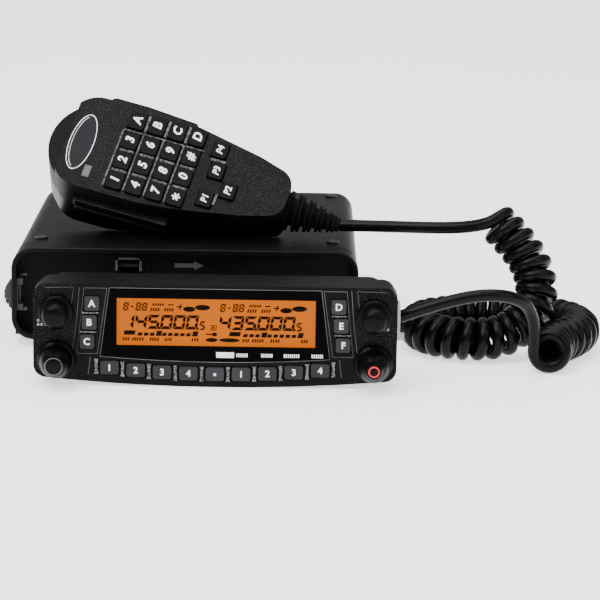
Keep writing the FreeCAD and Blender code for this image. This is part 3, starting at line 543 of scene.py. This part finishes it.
def text_mesh(name, items, material, body, slant=0.0, weight=0.0):
    """Characters in Blender's own font, each (text, size in mm, placing matrix)."""
    points, faces = [], []
    for text, size, place in items:
        curve = bpy.data.curves.new("glyph", "FONT")
        curve.body = text
        curve.size = size * MM
        curve.align_x = "CENTER"
        curve.align_y = "CENTER"
        curve.shear = slant
        curve.offset = weight * MM
        curve.resolution_u = 3
        mesh = shape_of("glyph", curve)
        start = len(points)
        points += [place @ vertex.co for vertex in mesh.vertices]
        faces += [[start + index for index in polygon.vertices] for polygon in mesh.polygons]
        bpy.data.curves.remove(curve)
        bpy.data.meshes.remove(mesh)
    return link_mesh(name, mesh_from(name, points, faces), material, body)


def tube_faces(rings, steps):
    """Quads between rings of points, each ring with the same number of steps."""
    faces = []
    for ring in range(rings - 1):
        for step in range(steps):
            a = ring * steps + step
            b = ring * steps + (step + 1) % steps
            faces.append((a, b, b + steps, a + steps))
    return faces


def lathe(name, profile, at, material, body, flutes=0, depth=0.0, span=(0, 0), steps=96):
    """Turn (radius, forward) pairs about a line out of the head's face, with optional flutes."""
    points = []
    for radius, forward in profile:
        for step in range(steps):
            angle = 2 * math.pi * step / steps
            cut = 0.0
            if flutes and span[0] <= forward <= span[1]:
                cut = depth * (0.5 + 0.5 * math.cos(flutes * angle)) ** 2
            reach = max(radius - cut, 0.0)
            points.append(Vector((at[0] + reach * math.cos(angle), at[1] - forward,
                                  at[2] + reach * math.sin(angle))) * MM)
    faces = [(a, d, c, b) for a, b, c, d in tube_faces(len(profile), steps)]
    faces.append(tuple(range(steps)))
    faces.append(tuple(range((len(profile) - 1) * steps, len(profile) * steps))[::-1])
    return link_mesh(name, mesh_from(name, points, faces), material, body, 40)


def line_tube(name, points, radius, material, body, closed=False, place=None):
    """A thin raised line through points in millimetres."""
    place = place or Matrix.Identity(4)
    curve = bpy.data.curves.new(name, "CURVE")
    curve.dimensions = "3D"
    curve.bevel_depth = radius * MM
    curve.bevel_resolution = 2
    spline = curve.splines.new("POLY")
    spline.points.add(len(points) - 1)
    for point, target in zip(points, spline.points):
        target.co = tuple(place @ (Vector(point) * MM)) + (1.0,)
    spline.use_cyclic_u = closed
    return link_mesh(name, shape_of(name + "_curve", curve), material, body, 60)


# ------------------------------------------------------------------ cord
def spline_points(route):
    """Points of a smooth spline through the given route, evenly spread along it."""
    curve = bpy.data.curves.new("guide", "CURVE")
    curve.dimensions = "3D"
    curve.resolution_u = 24
    spline = curve.splines.new("NURBS")
    spline.points.add(len(route) - 1)
    for point, target in zip(route, spline.points):
        target.co = tuple(Vector(point) * MM) + (1.0,)
    spline.order_u = 3
    spline.use_endpoint_u = True
    carrier = show("guide", curve)
    bpy.context.view_layer.update()
    mesh = bpy.data.meshes.new_from_object(carrier)
    raw = [vertex.co.copy() for vertex in mesh.vertices]
    bpy.data.objects.remove(carrier)
    bpy.data.meshes.remove(mesh)
    return raw


def evenly(points, step):
    """Walk a polyline in equal steps."""
    out = [points[0].copy()]
    left = step
    for a, b in zip(points, points[1:]):
        length = (b - a).length
        done = 0.0
        while length - done >= left and length > 0:
            done += left
            out.append(a.lerp(b, done / length))
            left = step
        left -= length - done
    out.append(points[-1].copy())
    return out


def sweep(name, path, radius, sides, material):
    """A round tube round a path of close points."""
    points = []
    side = Vector((0, 0, 1))
    for index, here in enumerate(path):
        ahead = path[min(index + 1, len(path) - 1)] - path[max(index - 1, 0)]
        ahead.normalize()
        side = (side - ahead * side.dot(ahead)).normalized()
        other = ahead.cross(side)
        for step in range(sides):
            angle = 2 * math.pi * step / sides
            points.append(here + (side * math.cos(angle) + other * math.sin(angle)) * radius)
    faces = tube_faces(len(path), sides)
    faces.append(tuple(range(sides))[::-1])
    faces.append(tuple(range((len(path) - 1) * sides, len(path) * sides)))
    return link_mesh(name, mesh_from(name, points, faces), material, None, 60)


def run_length(path):
    """The length of a polyline."""
    return sum((b - a).length for a, b in zip(path, path[1:]))


def coil_path(first, last):
    """Wind a helix round the coil's axis, from the point first to the point last."""
    guide = spline_points(COIL_ROUTE)
    turns = run_length(guide) / (COIL_PITCH * MM)
    count = int(turns * TURN_POINTS)
    axis = evenly(guide, run_length(guide) / count)[:count] + [guide[-1]]
    frames = []
    side = first - axis[0]
    for index, here in enumerate(axis):
        ahead = axis[min(index + LOOK_AHEAD, count)] - axis[max(index - LOOK_AHEAD, 0)]
        ahead.normalize()
        side = (side - ahead * side.dot(ahead)).normalized()
        frames.append((here, side, side.cross(ahead)))
    here, side, other = frames[-1]
    rest = math.atan2((last - here).dot(other), (last - here).dot(side)) / (2 * math.pi)
    turns = round(turns - rest) + rest
    path = []
    for index, (here, side, other) in enumerate(frames):
        angle = 2 * math.pi * turns * index / count
        path.append(here + (side * math.cos(angle) + other * math.sin(angle)) * COIL_RADIUS * MM)
    return path


def meet(path, target, reach=16):
    """Shift the last stretch of a path so that it ends on the target."""
    shift = target - path[-1]
    for back in range(min(reach, len(path))):
        path[-1 - back] = path[-1 - back] + shift * (1 - back / reach) ** 2


def ease(path, first, last, rounds=40):
    """Even out the bends of a path between two of its points, least beside those two."""
    for _ in range(rounds):
        for index in range(first, last):
            weight = min(1.0, (index - first + 1) / 6, (last - index) / 6)
            path[index] = path[index].lerp((path[index - 1] + path[index + 1]) / 2, weight)


def make_cord():
    """Lead, coil and tail as one tube; its upper end is placed at the microphone's boot."""
    end = MIC @ (Vector(BOOT_TIP) * MM)
    lead = evenly(spline_points(LEAD_ROUTE), WIRE_STEP * MM)
    tail = evenly(spline_points(TAIL_ROUTE + [tuple(end / MM)]), WIRE_STEP * MM)
    coil = coil_path(lead[-1], tail[0])
    meet(lead, coil[0])
    tail.reverse()
    meet(tail, coil[-1])
    tail.reverse()
    ease(tail, 2, len(tail) - 5)
    path = lead[:-1] + coil + tail[1:]
    joint = len(path) - len(tail)
    ease(path, joint - 10, joint + 12, 3)
    cord = sweep("cord", path, WIRE_RADIUS * MM, WIRE_SIDES, "cord")
    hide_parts("cord_lead", "cord_coil", "cord_tail")
    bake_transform(cord)


# ------------------------------------------------------------------ main unit
UNIT_LOOKS = [
    ("front_tray", "tray", 0.25), ("chassis", "cast", 0.25), ("top_cover", "paint", 0.25),
    ("release_lever", "lever", 0.2), ("panel_jack", "dark", 0.15), ("fan_frame", "dark", 0.2),
    ("fan_rotor", "dark", 0.12), ("antenna_socket", "nickel", 0.15), ("power_gland", "boot", 0.3),
    ("rear_jacks", "nickel", 0.15), ("data_socket", "nickel", 0.15), ("cover_screws", "screw", 0.15),
    ("speaker", "dark", 0.3), ("shield_cans", "tin", 0.3),
]


def boxes(name, material, body, spans):
    """One piece made of boxes, each a pair of opposite corners."""
    sheet = Sheetwork()
    for low, high in spans:
        sheet.box(low, high)
    return sheet.finish(name, material, body)


def make_unit():
    """The unit's CAD nodes, the arrow, the panel jack's small pieces and a painted highlight line
    round the tray's rim.
    """
    for node, material, width in UNIT_LOOKS:
        soften(node, material, width)
    plain("main_board", "board")
    arrow = Sheetwork(face_place((0, -62.35, 0)))
    arrow.prism([(-4.5, 32.5), (3.4, 32.5), (3.4, 31.5), (7.5, 33.4), (3.4, 35.3), (3.4, 34.3),
                 (-4.5, 34.3)], 0.0, 0.1)
    arrow.finish("tray_arrow", "arrow", "unit")
    pins = [-23.3 + (number - 3.5) * 1.1 for number in range(8)]
    boxes("panel_jack_contacts", "brass", "unit",
          [((x - 0.2, -63.4, 36.0), (x + 0.2, -53.0, 36.3)) for x in pins])
    boxes("panel_jack_tab", "arrow", "unit",
          [((-26.5, -62.8, 37.8), (-20.1, -62.2, 38.7)), ((-25.0, -62.8, 38.7), (-21.6, -62.2, 39.2)),
           ((-27.6, -63.7, 35.7), (-19.0, -63.1, 36.5)), ((-28.7, -63.7, 31.0), (-27.7, -63.1, 35.4)),
           ((-18.9, -63.7, 31.0), (-17.9, -63.1, 35.4))])
    boxes("panel_jack_tongue", "lever", "unit", [((-27.4, -61.5, 32.2), (-19.2, -60.5, 33.6))])
    boxes("panel_jack_surround", "tray", "unit",
          [((-32.0, -62.7, 29.0), (-29.7, -62.2, 38.0)), ((-16.9, -62.7, 29.0), (-14.6, -62.2, 38.0)),
           ((-32.0, -62.7, 37.6), (-14.6, -62.2, 38.4)), ((-32.0, -62.7, 28.6), (-14.6, -62.2, 29.4))])
    boxes("latch_bracket", "bracket", "unit",
          [((-68.3, -62.6, 13.7), (-64.9, -62.0, 14.9)), ((-68.3, -62.6, 28.1), (-64.9, -62.0, 29.1)),
           ((-68.3, -62.6, 13.7), (-67.4, -62.0, 29.1))])
    # Painted highlight: a lighter line round the outer edge of the tray's rim.
    rim = rounded_loop(-70.2, 70.2, 3.5, 41.2, 8.7, -69.95)
    line_tube("rim_highlight_line", rim, 0.12, "lever", "unit", True)


def rounded_loop(x0, x1, z0, z1, r, y, steps=8):
    """Corner points of a rounded rectangle in the plane of the face."""
    points = []
    for cx, cz, start in ((x1 - r, z1 - r, 0), (x0 + r, z1 - r, 90), (x0 + r, z0 + r, 180),
                          (x1 - r, z0 + r, 270)):
        for step in range(steps + 1):
            angle = math.radians(start + 90 * step / steps)
            points.append((cx + r * math.cos(angle), y, cz + r * math.sin(angle)))
    return points


# ------------------------------------------------------------------ control head
def row_height(number):
    """The height of a menu key's middle: the row sags towards its own middle."""
    return 5.3 + 2.0 * ((number - 4) / 4.0) ** 2


FACE_LINES = [
    ("key_outline_", [(-50.4, 38.4), (-41.6, 38.4), (-45.3, 12.6), (-53.2, 12.6)], 0.12, True),
    ("panel_line_", [(-52.2, 38.6), (-53.2, 26.0), (-54.9, 13.4)], 0.1, False),
    # This line's top stretch is a painted highlight along the face's top edge; the rest follows the
    # edge of the grained end.
    ("grain_edge_and_highlight_line_", [(-65.4, 38.3), (-54.4, 38.6), (-55.4, 31.0), (-56.4, 25.0)], 0.08, False),
    ("tray_line_", [(-48.0, 11.4), (-48.4, 7.5), (-48.9, 4.4)], 0.12, False),
]
SIDE_KEYS = [(47.4, 32.4), (48.4, 25.0), (49.3, 17.4)]
SEGMENTS = {"0": "abcdef", "1": "bc", "2": "abged", "3": "abgcd", "4": "fgbc", "5": "afgcd",
            "6": "afgedc", "7": "abc", "8": "abcdefg", "9": "abcdfg", "-": "g"}


def digit(sheet, char, x, z, wide, tall, thick):
    """A slanted seven-segment figure; x, z is its lower left corner."""
    slant = 0.16
    half = tall / 2

    def point(px, pz):
        return (x + px + slant * pz, z + pz)

    t = thick
    g = 0.12  # half the gap between two segments
    bars = {
        "a": [(g, tall), (wide - g, tall), (wide - t - g, tall - t), (t + g, tall - t)],
        "d": [(t + g, t), (wide - t - g, t), (wide - g, 0), (g, 0)],
        "g": [(t / 2 + g, half), (t + g, half + t / 2), (wide - t - g, half + t / 2),
              (wide - t / 2 - g, half), (wide - t - g, half - t / 2), (t + g, half - t / 2)],
        "f": [(0, tall - g), (t, tall - t - g), (t, half + t / 2 + g), (t / 2, half + g),
              (0, half + g)],
        "e": [(0, half - g), (t / 2, half - g), (t, half - t / 2 - g), (t, t + g), (0, g)],
    }
    for copy, name in (("b", "f"), ("c", "e")):
        bars[copy] = [(wide - px, pz) for px, pz in bars[name]][::-1]
    for name in SEGMENTS.get(char, ""):
        sheet.prism([point(px, pz) for px, pz in bars[name]], 0.0, FIGURE_THICK)


def bar(sheet, x, z, wide, tall, lean=0.25):
    """A leaning bar; x, z is its lower left corner."""
    shift = lean * tall
    sheet.prism([(x, z), (x + wide, z), (x + wide + shift, z + tall), (x + shift, z + tall)],
                0.0, FIGURE_THICK)


def oval(sheet, x, z, wide, tall, steps=20):
    """A filled oval round its middle x, z."""
    sheet.prism([(x + wide / 2 * math.cos(2 * math.pi * k / steps),
                  z + tall / 2 * math.sin(2 * math.pi * k / steps)) for k in range(steps)],
                0.0, FIGURE_THICK)


def marks(sheet, x, z, count, tall=1.3, pitch=0.95):
    """A row of short plain bars where a small word stands on the real thing."""
    for index in range(count):
        bar(sheet, x + index * pitch, z, 0.6, tall)


READINGS = [
    (0.0, 0.0, "145000", [(-35.8, 3), (-32.2, 5), (-25.4, 4), (-19.6, 3), (-9.2, 3)]),
    (37.3, 40.6, "435000", [(10.3, 3), (14.0, 5), (21.1, 4), (32.9, 3)]),
]


def make_display():
    """The orange panel and its figures, bars and small marks."""
    plain("display_panel", "display")
    figures = head_sheet(2.18, -0.7)
    for left, low_left, number, words in READINGS:
        x = left - 36.3
        for index, char in enumerate(number):
            digit(figures, char, x, 22.9, 4.5, 5.6, 1.15)
            x += 4.94
            if index in (2, 5):
                bar(figures, x - 0.62, 22.8, 0.7, 0.9)
        digit(figures, "5", x + 0.3, 22.8, 2.2, 3.4, 0.75)
        x = left - 35.7
        for char in "8-88":
            digit(figures, char, x, 30.0, 2.0, 3.2, 0.62)
            x += 2.4
        marks(figures, left - 24.4, 32.0, 5, 1.0)
        marks(figures, left - 25.2, 29.9, 4)
        marks(figures, left - 19.8, 29.9, 4)
        bar(figures, left - 18.4, 32.2, 2.2, 0.5)
        bar(figures, left - 15.0, 31.5, 2.2, 0.5)
        bar(figures, left - 14.1, 30.7, 0.5, 2.1)
        oval(figures, left - 10.1, 30.9, 4.7, 2.1)
        oval(figures, left - 5.0, 31.6, 5.8, 2.2)
        bar(figures, low_left - 35.4, 20.5, 4.3, 1.7)
        for index in range(10):
            heavy = index in (3, 9)
            bar(figures, low_left - 30.0 + index * 2.33, 20.2, 2.1 if heavy else 1.7,
                2.0 if heavy else 1.25)
        for x, count in words:
            marks(figures, x, 18.2, count)
    oval(figures, -1.4, 18.9, 4.6, 1.6)
    oval(figures, 5.5, 18.9, 8.0, 1.6)
    for low, high in (((-1.9, 22.7), (0.2, 23.0)), ((-1.9, 24.4), (0.2, 24.7)),
                      ((-1.9, 22.7), (-1.6, 24.7)), ((-0.1, 22.7), (0.2, 24.7))):
        bar(figures, low[0], low[1], high[0] - low[0], high[1] - low[1])
    oval(figures, -0.75, 23.7, 0.9, 0.9)
    bar(figures, -3.7, 20.9, 2.8, 0.5)
    oval(figures, -0.3, 21.1, 2.0, 1.5)
    figures.finish("display_figures", "segment", "head")


def make_window():
    """A black printed border round a clear pane."""
    outer = [(-40.7, 38.6), (40.7, 38.6), (44.2, 11.6)]
    steps = 14
    for step in range(1, steps):
        x = 44.2 - 88.4 * step / steps
        outer.append((x, 9.9 + 1.7 * (x / 44.2) ** 2))
    outer.append((-44.2, 11.6))
    inner = [(-37.9, 34.6), (38.6, 34.6), (38.6, 16.0), (-37.9, 16.0)]
    sheet = head_sheet()
    low, high = -1.2, -0.1
    count = len(outer)
    back = count + len(inner)
    points = [(x, y, high) for x, y in outer + inner] + [(x, y, low) for x, y in outer + inner]
    a, b, c, d = count, count + 1, count + 2, count + 3
    front = [(0, a, b, 1), (1, b, c, 2), (0, count - 1, d, a),
             tuple([c, d] + list(range(2, count))[::-1])]
    faces = front + [tuple(index + back for index in face[::-1]) for face in front]
    faces += [(i, (i + 1) % count, (i + 1) % count + back, i + back) for i in range(count)]
    faces += [(a + k, a + (k + 1) % 4, a + (k + 1) % 4 + back, a + k + back) for k in range(4)]
    sheet.add(points, faces)
    border = sheet.finish("window_border", "frame", "head")
    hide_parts("display_window")
    pane = head_sheet()
    pane.box((-37.85, 16.05, -1.1), (38.55, 34.55, -0.2))
    pane.finish("window_pane", "pane", "head")
    face_line("window_line", outer, -1, 0.02, 0.13, True)
    labels = head_sheet(0.09)
    labels.plate(0.5, 11.7, 6.8, 2.2, 0.05)
    for x, count in ((8.2, 6), (17.8, 6), (26.5, 8), (37.2, 6)):
        for index in range(count):
            labels.plate(x + 0.78 * index, 12.1, 0.44, 1.4, 0.05)
    labels.finish("window_labels", "white", "head")


def face_line(name, spots, sign, lift, radius, closed=False):
    """A thin line on the head's face through (x, z) points, mirrored by the sign."""
    points = [(HEAD.x - sign * x, HEAD.y - lift, z) for x, z in spots]
    line_tube(name, points, radius, "rib", "head", closed)


def make_head():
    """Shells, window, keys with their print, lines, ledges, dividers, knobs and the clear plug."""
    soften("head_bezel", "head", 0.35)
    soften("head_back", "head", 0.5)
    soften("head_screws", "screw", 0.15)
    soften("mic_jack", "dark", 0.15)
    plain("head_board", "board")
    make_display()
    make_window()
    names = ["menu_key_" + letter for letter in "abcdefghi"]
    for number, name in enumerate(names):
        soften(name, "key", 0.45, segments=3)
        at = (HEAD.x + (number - 4) * KEY_PITCH, HEAD.y - KEY_FACE, row_height(number))
        if number == 4:
            mark = Sheetwork(face_place(at))
            mark.plate(-0.5, -0.5, 1.0, 1.0, 0.03)
            mark.finish("print_" + name, "white", name)
        else:
            label = "1234 1234"[number]
            text_mesh("print_" + name, [(label, 3.6, face_place(at))], "white", name, 0.0, 0.09)
    letters = iter("ABCDEF")
    for sign, side in ((-1, "left"), (1, "right")):
        for (across, up), level in zip(SIDE_KEYS, ("top", "middle", "low")):
            name = "side_key_%s_%s" % (side, level)
            soften(name, "key", 0.45, segments=3)
            at = (HEAD.x + sign * across, HEAD.y - KEY_FACE, up)
            text_mesh("print_" + name, [(next(letters), 3.7, face_place(at))], "white", name, 0.0, 0.1)
        for kind, spots, radius, closed in FACE_LINES:
            face_line(kind + side, spots, sign, 0.03, radius, closed)
        small = head_sheet(0.0, 2.6)
        for row, count in ((22.3, 2), (20.7, 3)):
            for index in range(count):
                x = -68.4 + 1.3 * index if sign < 0 else 66.0 - 1.3 * index
                small.plate(x, row, 0.8, 1.0, 0.05)
        small.finish("knob_labels_" + side, "grey_print_and_highlight", "head")
        ledges = head_sheet()
        for x, z in ((47.9, 28.7), (48.9, 21.2)):
            ledges.box((sign * x - 3.2, z - 0.25, -0.3), (sign * x + 3.2, z + 0.25, 0.5))
        ledges.finish("key_ledges_" + side, "divider", "head")
    ribs = head_sheet()
    for number in range(-1, 9):
        x = (number - 3.5) * KEY_PITCH
        z = row_height(number + 0.5)
        ribs.prism([(x - 0.85, z - 3.0), (x + 0.85, z - 3.0), (x + 0.5, z - 1.6), (x + 0.5, z + 1.6),
                    (x + 0.8, z + 2.9), (x - 0.8, z + 2.9), (x - 0.5, z + 1.6), (x - 0.5, z - 1.6)],
                   0.45, 0.75)
    ribs.finish("key_dividers", "divider", "head")
    make_knobs()
    plug = soften("mic_plug", "clear", 0.2)
    pins = [25.7 + (number - 3.5) * 1.1 for number in range(8)]
    boxes("plug_contacts", "brass", "head",
          [((74.0, -118.0, z - 0.18), (80.5, -116.4, z + 0.18)) for z in pins])


RING_PROFILE = [(3.5, -8), (3.5, 0.3), (6.6, 0.3), (6.7, 0.6), (6.7, 2.5), (6.4, 2.9), (6.0, 3.2),
                (5.3, 3.25), (2.62, 3.2)]
CAP_PROFILE = [(2.5, -8), (2.5, 3.5), (4.9, 3.5), (5.0, 3.8), (4.9, 8.8), (4.6, 9.8), (4.0, 10.7),
               (3.0, 11.25), (1.6, 11.5), (0.0, 11.55)]
DIAL_PROFILE = [(3.0, -8), (3.0, 0.4), (7.3, 0.4), (7.5, 0.7), (7.45, 1.8), (7.1, 2.5), (6.35, 3.0),
                (6.3, 3.3), (6.2, 6.5), (5.6, 8.6), (4.7, 10.4), (3.9, 11.5), (3.5, 12.0), (3.4, 12.3),
                (3.3, 13.6), (3.0, 14.2), (2.3, 14.4), (0.0, 14.45)]
KNOBS = [
    ("v_squelch_", "squelch_ring_", UPPER_KNOB, RING_PROFILE, 30, 0.25, (0.5, 2.6), 180),
    ("v_volume_", "volume_knob_", UPPER_KNOB, CAP_PROFILE, 24, 0.3, (4.0, 9.6), 168),
    ("v_dial_", "dial_knob_", LOWER_KNOB, DIAL_PROFILE, 30, 0.35, (3.2, 6.6), 210),
]


def make_knobs():
    """Both upper pairs of ring and cap, and both dials with a ring on their caps: red print on the
    right, a painted grey highlight round the left cap.
    """
    # The left dial's grey ring is a painted highlight on its cap's rim; the right dial's red ring is
    # print.
    for sign, side, colour, reach, deep, thick in ((-1, "left", "grey_print_and_highlight", 3.25, 13.7, 0.1),
                                                   (1, "right", "red", 1.9, 14.4, 0.34)):
        x = HEAD.x + sign * KNOB_ACROSS
        for prefix, node, up, profile, flutes, depth, span, steps in KNOBS:
            knob = lathe(prefix + side, profile, (x, HEAD.y, up), "gloss", node + side, flutes, depth,
                         span, steps)
            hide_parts(node + side)
        points = [(x + reach * math.cos(k * math.pi / 24), HEAD.y - deep,
                   LOWER_KNOB + reach * math.sin(k * math.pi / 24)) for k in range(48)]
        line_tube("dial_ring_" + side, points, thick, colour, "dial_knob_" + side, True)


# ------------------------------------------------------------------ hand microphone
MEMORY_KEYS = {"one": (18.4, -11.9, "P1"), "two": (26.4, -5.6, "P2"), "three": (19.1, 2, "P3"),
               "four": (17.6, 12, "P4")}
PAD_MIDDLE, PAD_LONG, PAD_WIDE = -6.2, 8.75, 9.93
PAD_TEXT = ["A321", "B654", "C987", "D#0*"]


def mic_place(x, y, z, turn):
    """A spot on the microphone's face, turned about its own normal."""
    spot = MIC @ Matrix.Translation(Vector((x, y, z)) * MM)
    return spot @ Matrix.Rotation(math.radians(turn), 4, "Z")


def make_boot():
    """The rubber boot, turned about the cord: pairs of thin ribs on a tapering core."""
    profile = [(50.7, 0.0), (50.7, 8.5), (51.9, 8.4), (52.1, 5.9)]
    for number in range(4):
        start = 54.1 + 4.7 * number
        high = 8.2 - 1.25 * number
        core = 5.6 - 0.75 * number
        profile += [(start, core), (start + 0.2, high - 0.1), (start + 0.4, high),
                    (start + 1.1, high - 0.1), (start + 1.3, high - 1.1), (start + 1.9, high - 1.2),
                    (start + 2.1, high - 0.5), (start + 2.9, high - 0.6),
                    (start + 3.1, max(core - 0.4, 3.1))]
    profile += [(73.1, 3.0), (73.1, 0.0)]
    steps = 40
    points = []
    for along, reach in profile:
        for step in range(steps):
            angle = 2 * math.pi * step / steps
            spot = Vector((along, reach * math.cos(angle), -11.5 + reach * math.sin(angle)))
            points.append(MIC @ (spot * MM))
    mesh = mesh_from("v_mic_boot", points, tube_faces(len(profile), steps))
    boot = link_mesh("v_mic_boot", mesh, "boot", "mic", 32)
    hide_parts("mic_boot")


def draw_star(place):
    """A star of three crossed strokes."""
    star = Sheetwork(place)
    for turn in (0, 60, 120):
        along = Vector((math.sin(math.radians(turn)), math.cos(math.radians(turn)))) * 1.75
        side = Vector((along.y, -along.x)) * 0.2
        star.prism([tuple(along + side), tuple(along - side), tuple(-along - side),
                    tuple(-along + side)], 0.0, 0.06 + 0.01 * turn / 60)
    star.finish("keypad_star", "white", "mic")


def make_mic():
    """Shells, keypad with print and dividers, memory keys, badge, lamp, boot and insides."""
    soften("mic_front_shell", "mic", 0.8, segments=3)
    soften("mic_back_shell", "mic_back", 0.8, segments=3)
    soften("mic_keypad", "pad", 0.35)
    soften("talk_bar", "talk", 0.5, segments=3)
    soften("hang_stud", "nickel", 0.3)
    make_boot()
    soften("mic_capsule", "tin", 0.2)
    plain("mic_board", "board")
    letters = []
    for column in range(4):
        for row in range(4):
            x = PAD_MIDDLE + (column - 1.5) * PAD_LONG
            y = (1.5 - row) * PAD_WIDE
            spot = mic_place(x, y, 1.22, 90)
            if PAD_TEXT[column][row] == "*":
                draw_star(spot)
            else:
                letters.append((PAD_TEXT[column][row], 5.2, spot))
    text_mesh("keypad_print", letters, "white", "mic", 0.2, 0.2)
    for name, (x, y, text) in MEMORY_KEYS.items():
        soften("memory_key_" + name, "pad", 0.4, segments=3)
        text_mesh("memory_print_" + name, [(text, 3.9, mic_place(x, y, 1.12, 90))], "white",
                  "memory_key_" + name, 0.2, 0.1)
    bars = Sheetwork(MIC)
    left, right = PAD_MIDDLE - 2 * PAD_LONG, PAD_MIDDLE + 2 * PAD_LONG
    for column in range(4):
        x = PAD_MIDDLE + (column - 2) * PAD_LONG
        bars.box((x - 0.35, -2 * PAD_WIDE + 1.6, 0.0), (x + 0.35, PAD_WIDE - 0.4, 0.4))
    bars.box((left, PAD_WIDE - 0.45, 0.0), (right, PAD_WIDE + 0.05, 0.4))
    for row in range(2):
        y = (row - 1) * PAD_WIDE
        for column in range(4):
            x = PAD_MIDDLE + (column - 1.5) * PAD_LONG
            bars.box((x - 3.0, y - 0.55, 0.0), (x + 3.0, y + 0.55, 0.6))
    for column in range(3):
        x = PAD_MIDDLE + (column - 1) * PAD_LONG
        bars.box((x - 0.55, 1.1 * PAD_WIDE, 0.0), (x + 0.55, 1.9 * PAD_WIDE, 0.6))
    bars.box((15.2, 6.4, 0.0), (21.6, 7.6, 0.6))
    bars.box((21.9, -13.5, 0.0), (22.9, -8.2, 0.6))
    bars.finish("keypad_dividers", "speckle", "mic")
    badge = soften("mic_badge", "violet", 0.2)
    edge = [(-38.3 + 5.0 * math.cos(k * math.pi / 32), -1.5 + 13.4 * math.sin(k * math.pi / 32), 0.15)
            for k in range(64)]
    line_tube("badge_edge", edge, 0.33, "silver", "mic", True, MIC)
    inner = [(-38.1 + 4.1 * math.cos(k * math.pi / 32), -1.5 + 12.3 * math.sin(k * math.pi / 32), 0.3)
             for k in range(18, 47)]
    line_tube("badge_inner_edge", inner, 0.2, "silver", "mic", False, MIC)
    lamp = Sheetwork(MIC)
    lamp.box((-33.4, -16.7, 0.0), (-30.5, -11.3, 0.3))
    lamp.finish("mic_lamp", "rib", "mic")
    dots = Sheetwork(MIC)
    for number in range(4):
        dots.box((-28 + 2.4 * number, -24.72, -9.6), (-27.2 + 2.4 * number, -24.5, -8.9))
    dots.finish("talk_dots", "lever", "talk_bar")


# ------------------------------------------------------------------ stage
def make_stage():
    """A plain pale floor, three soft lights, a wide sun and a white surround."""
    floor_mesh = mesh_from("floor", [(-3, -3, 0), (3, -3, 0), (3, 3, 0), (-3, 3, 0)], [(0, 1, 2, 3)])
    floor = show("floor", floor_mesh)
    n = Nodes("floor_paper")
    n.colour(n.ramp(n.noise(3.0), (0.84, 0.84, 0.84), (0.88, 0.88, 0.88)))
    n.rough(n.span(n.noise(30.0), 0.75, 0.9))
    n.glow((1.0, 1.0, 1.0), 1.2)
    floor_mesh.materials.append(n.material)
    props = [floor]
    for name, at, size, energy in (("key_light", (-0.7, -0.7, 1.3), 0.9, 14.0),
                                   ("fill_light", (1.1, -0.9, 0.8), 1.0, 7.0),
                                   ("top_light", (0.1, 0.3, 1.5), 1.2, 14.0)):
        data = bpy.data.lights.new(name, "AREA")
        data.size = size
        data.energy = energy
        light = show(name, data)
        light.location = at
        aim = Vector((0.02, -0.06, 0.03)) - Vector(at)
        light.rotation_euler = aim.to_track_quat("-Z", "Y").to_euler()
        props.append(light)
    sun_data = bpy.data.lights.new("sky_light", "SUN")
    sun_data.energy = 2.3
    sun_data.angle = math.radians(60)
    sun = show("sky_light", sun_data)
    sun.rotation_euler = (math.radians(24), math.radians(-14), 0)
    props.append(sun)
    world = bpy.data.worlds.new("studio")
    bpy.context.scene.world = world
    world.use_nodes = True
    world.node_tree.nodes["Background"].inputs["Color"].default_value = (1, 1, 1, 1)
    world.node_tree.nodes["Background"].inputs["Strength"].default_value = 0.48
    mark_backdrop(*props)


make_camera()
M = make_materials()
make_cord()
make_unit()
make_head()
make_mic()
make_stage()


def plain_numbers(value):
    """Nested lists of rounded numbers."""
    if not isinstance(value, (int, float)):
        return [plain_numbers(part) for part in value]
    return round(float(value), 5)


{"at_load": plain_numbers(AT_LOAD), "at_end": plain_numbers(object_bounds())}
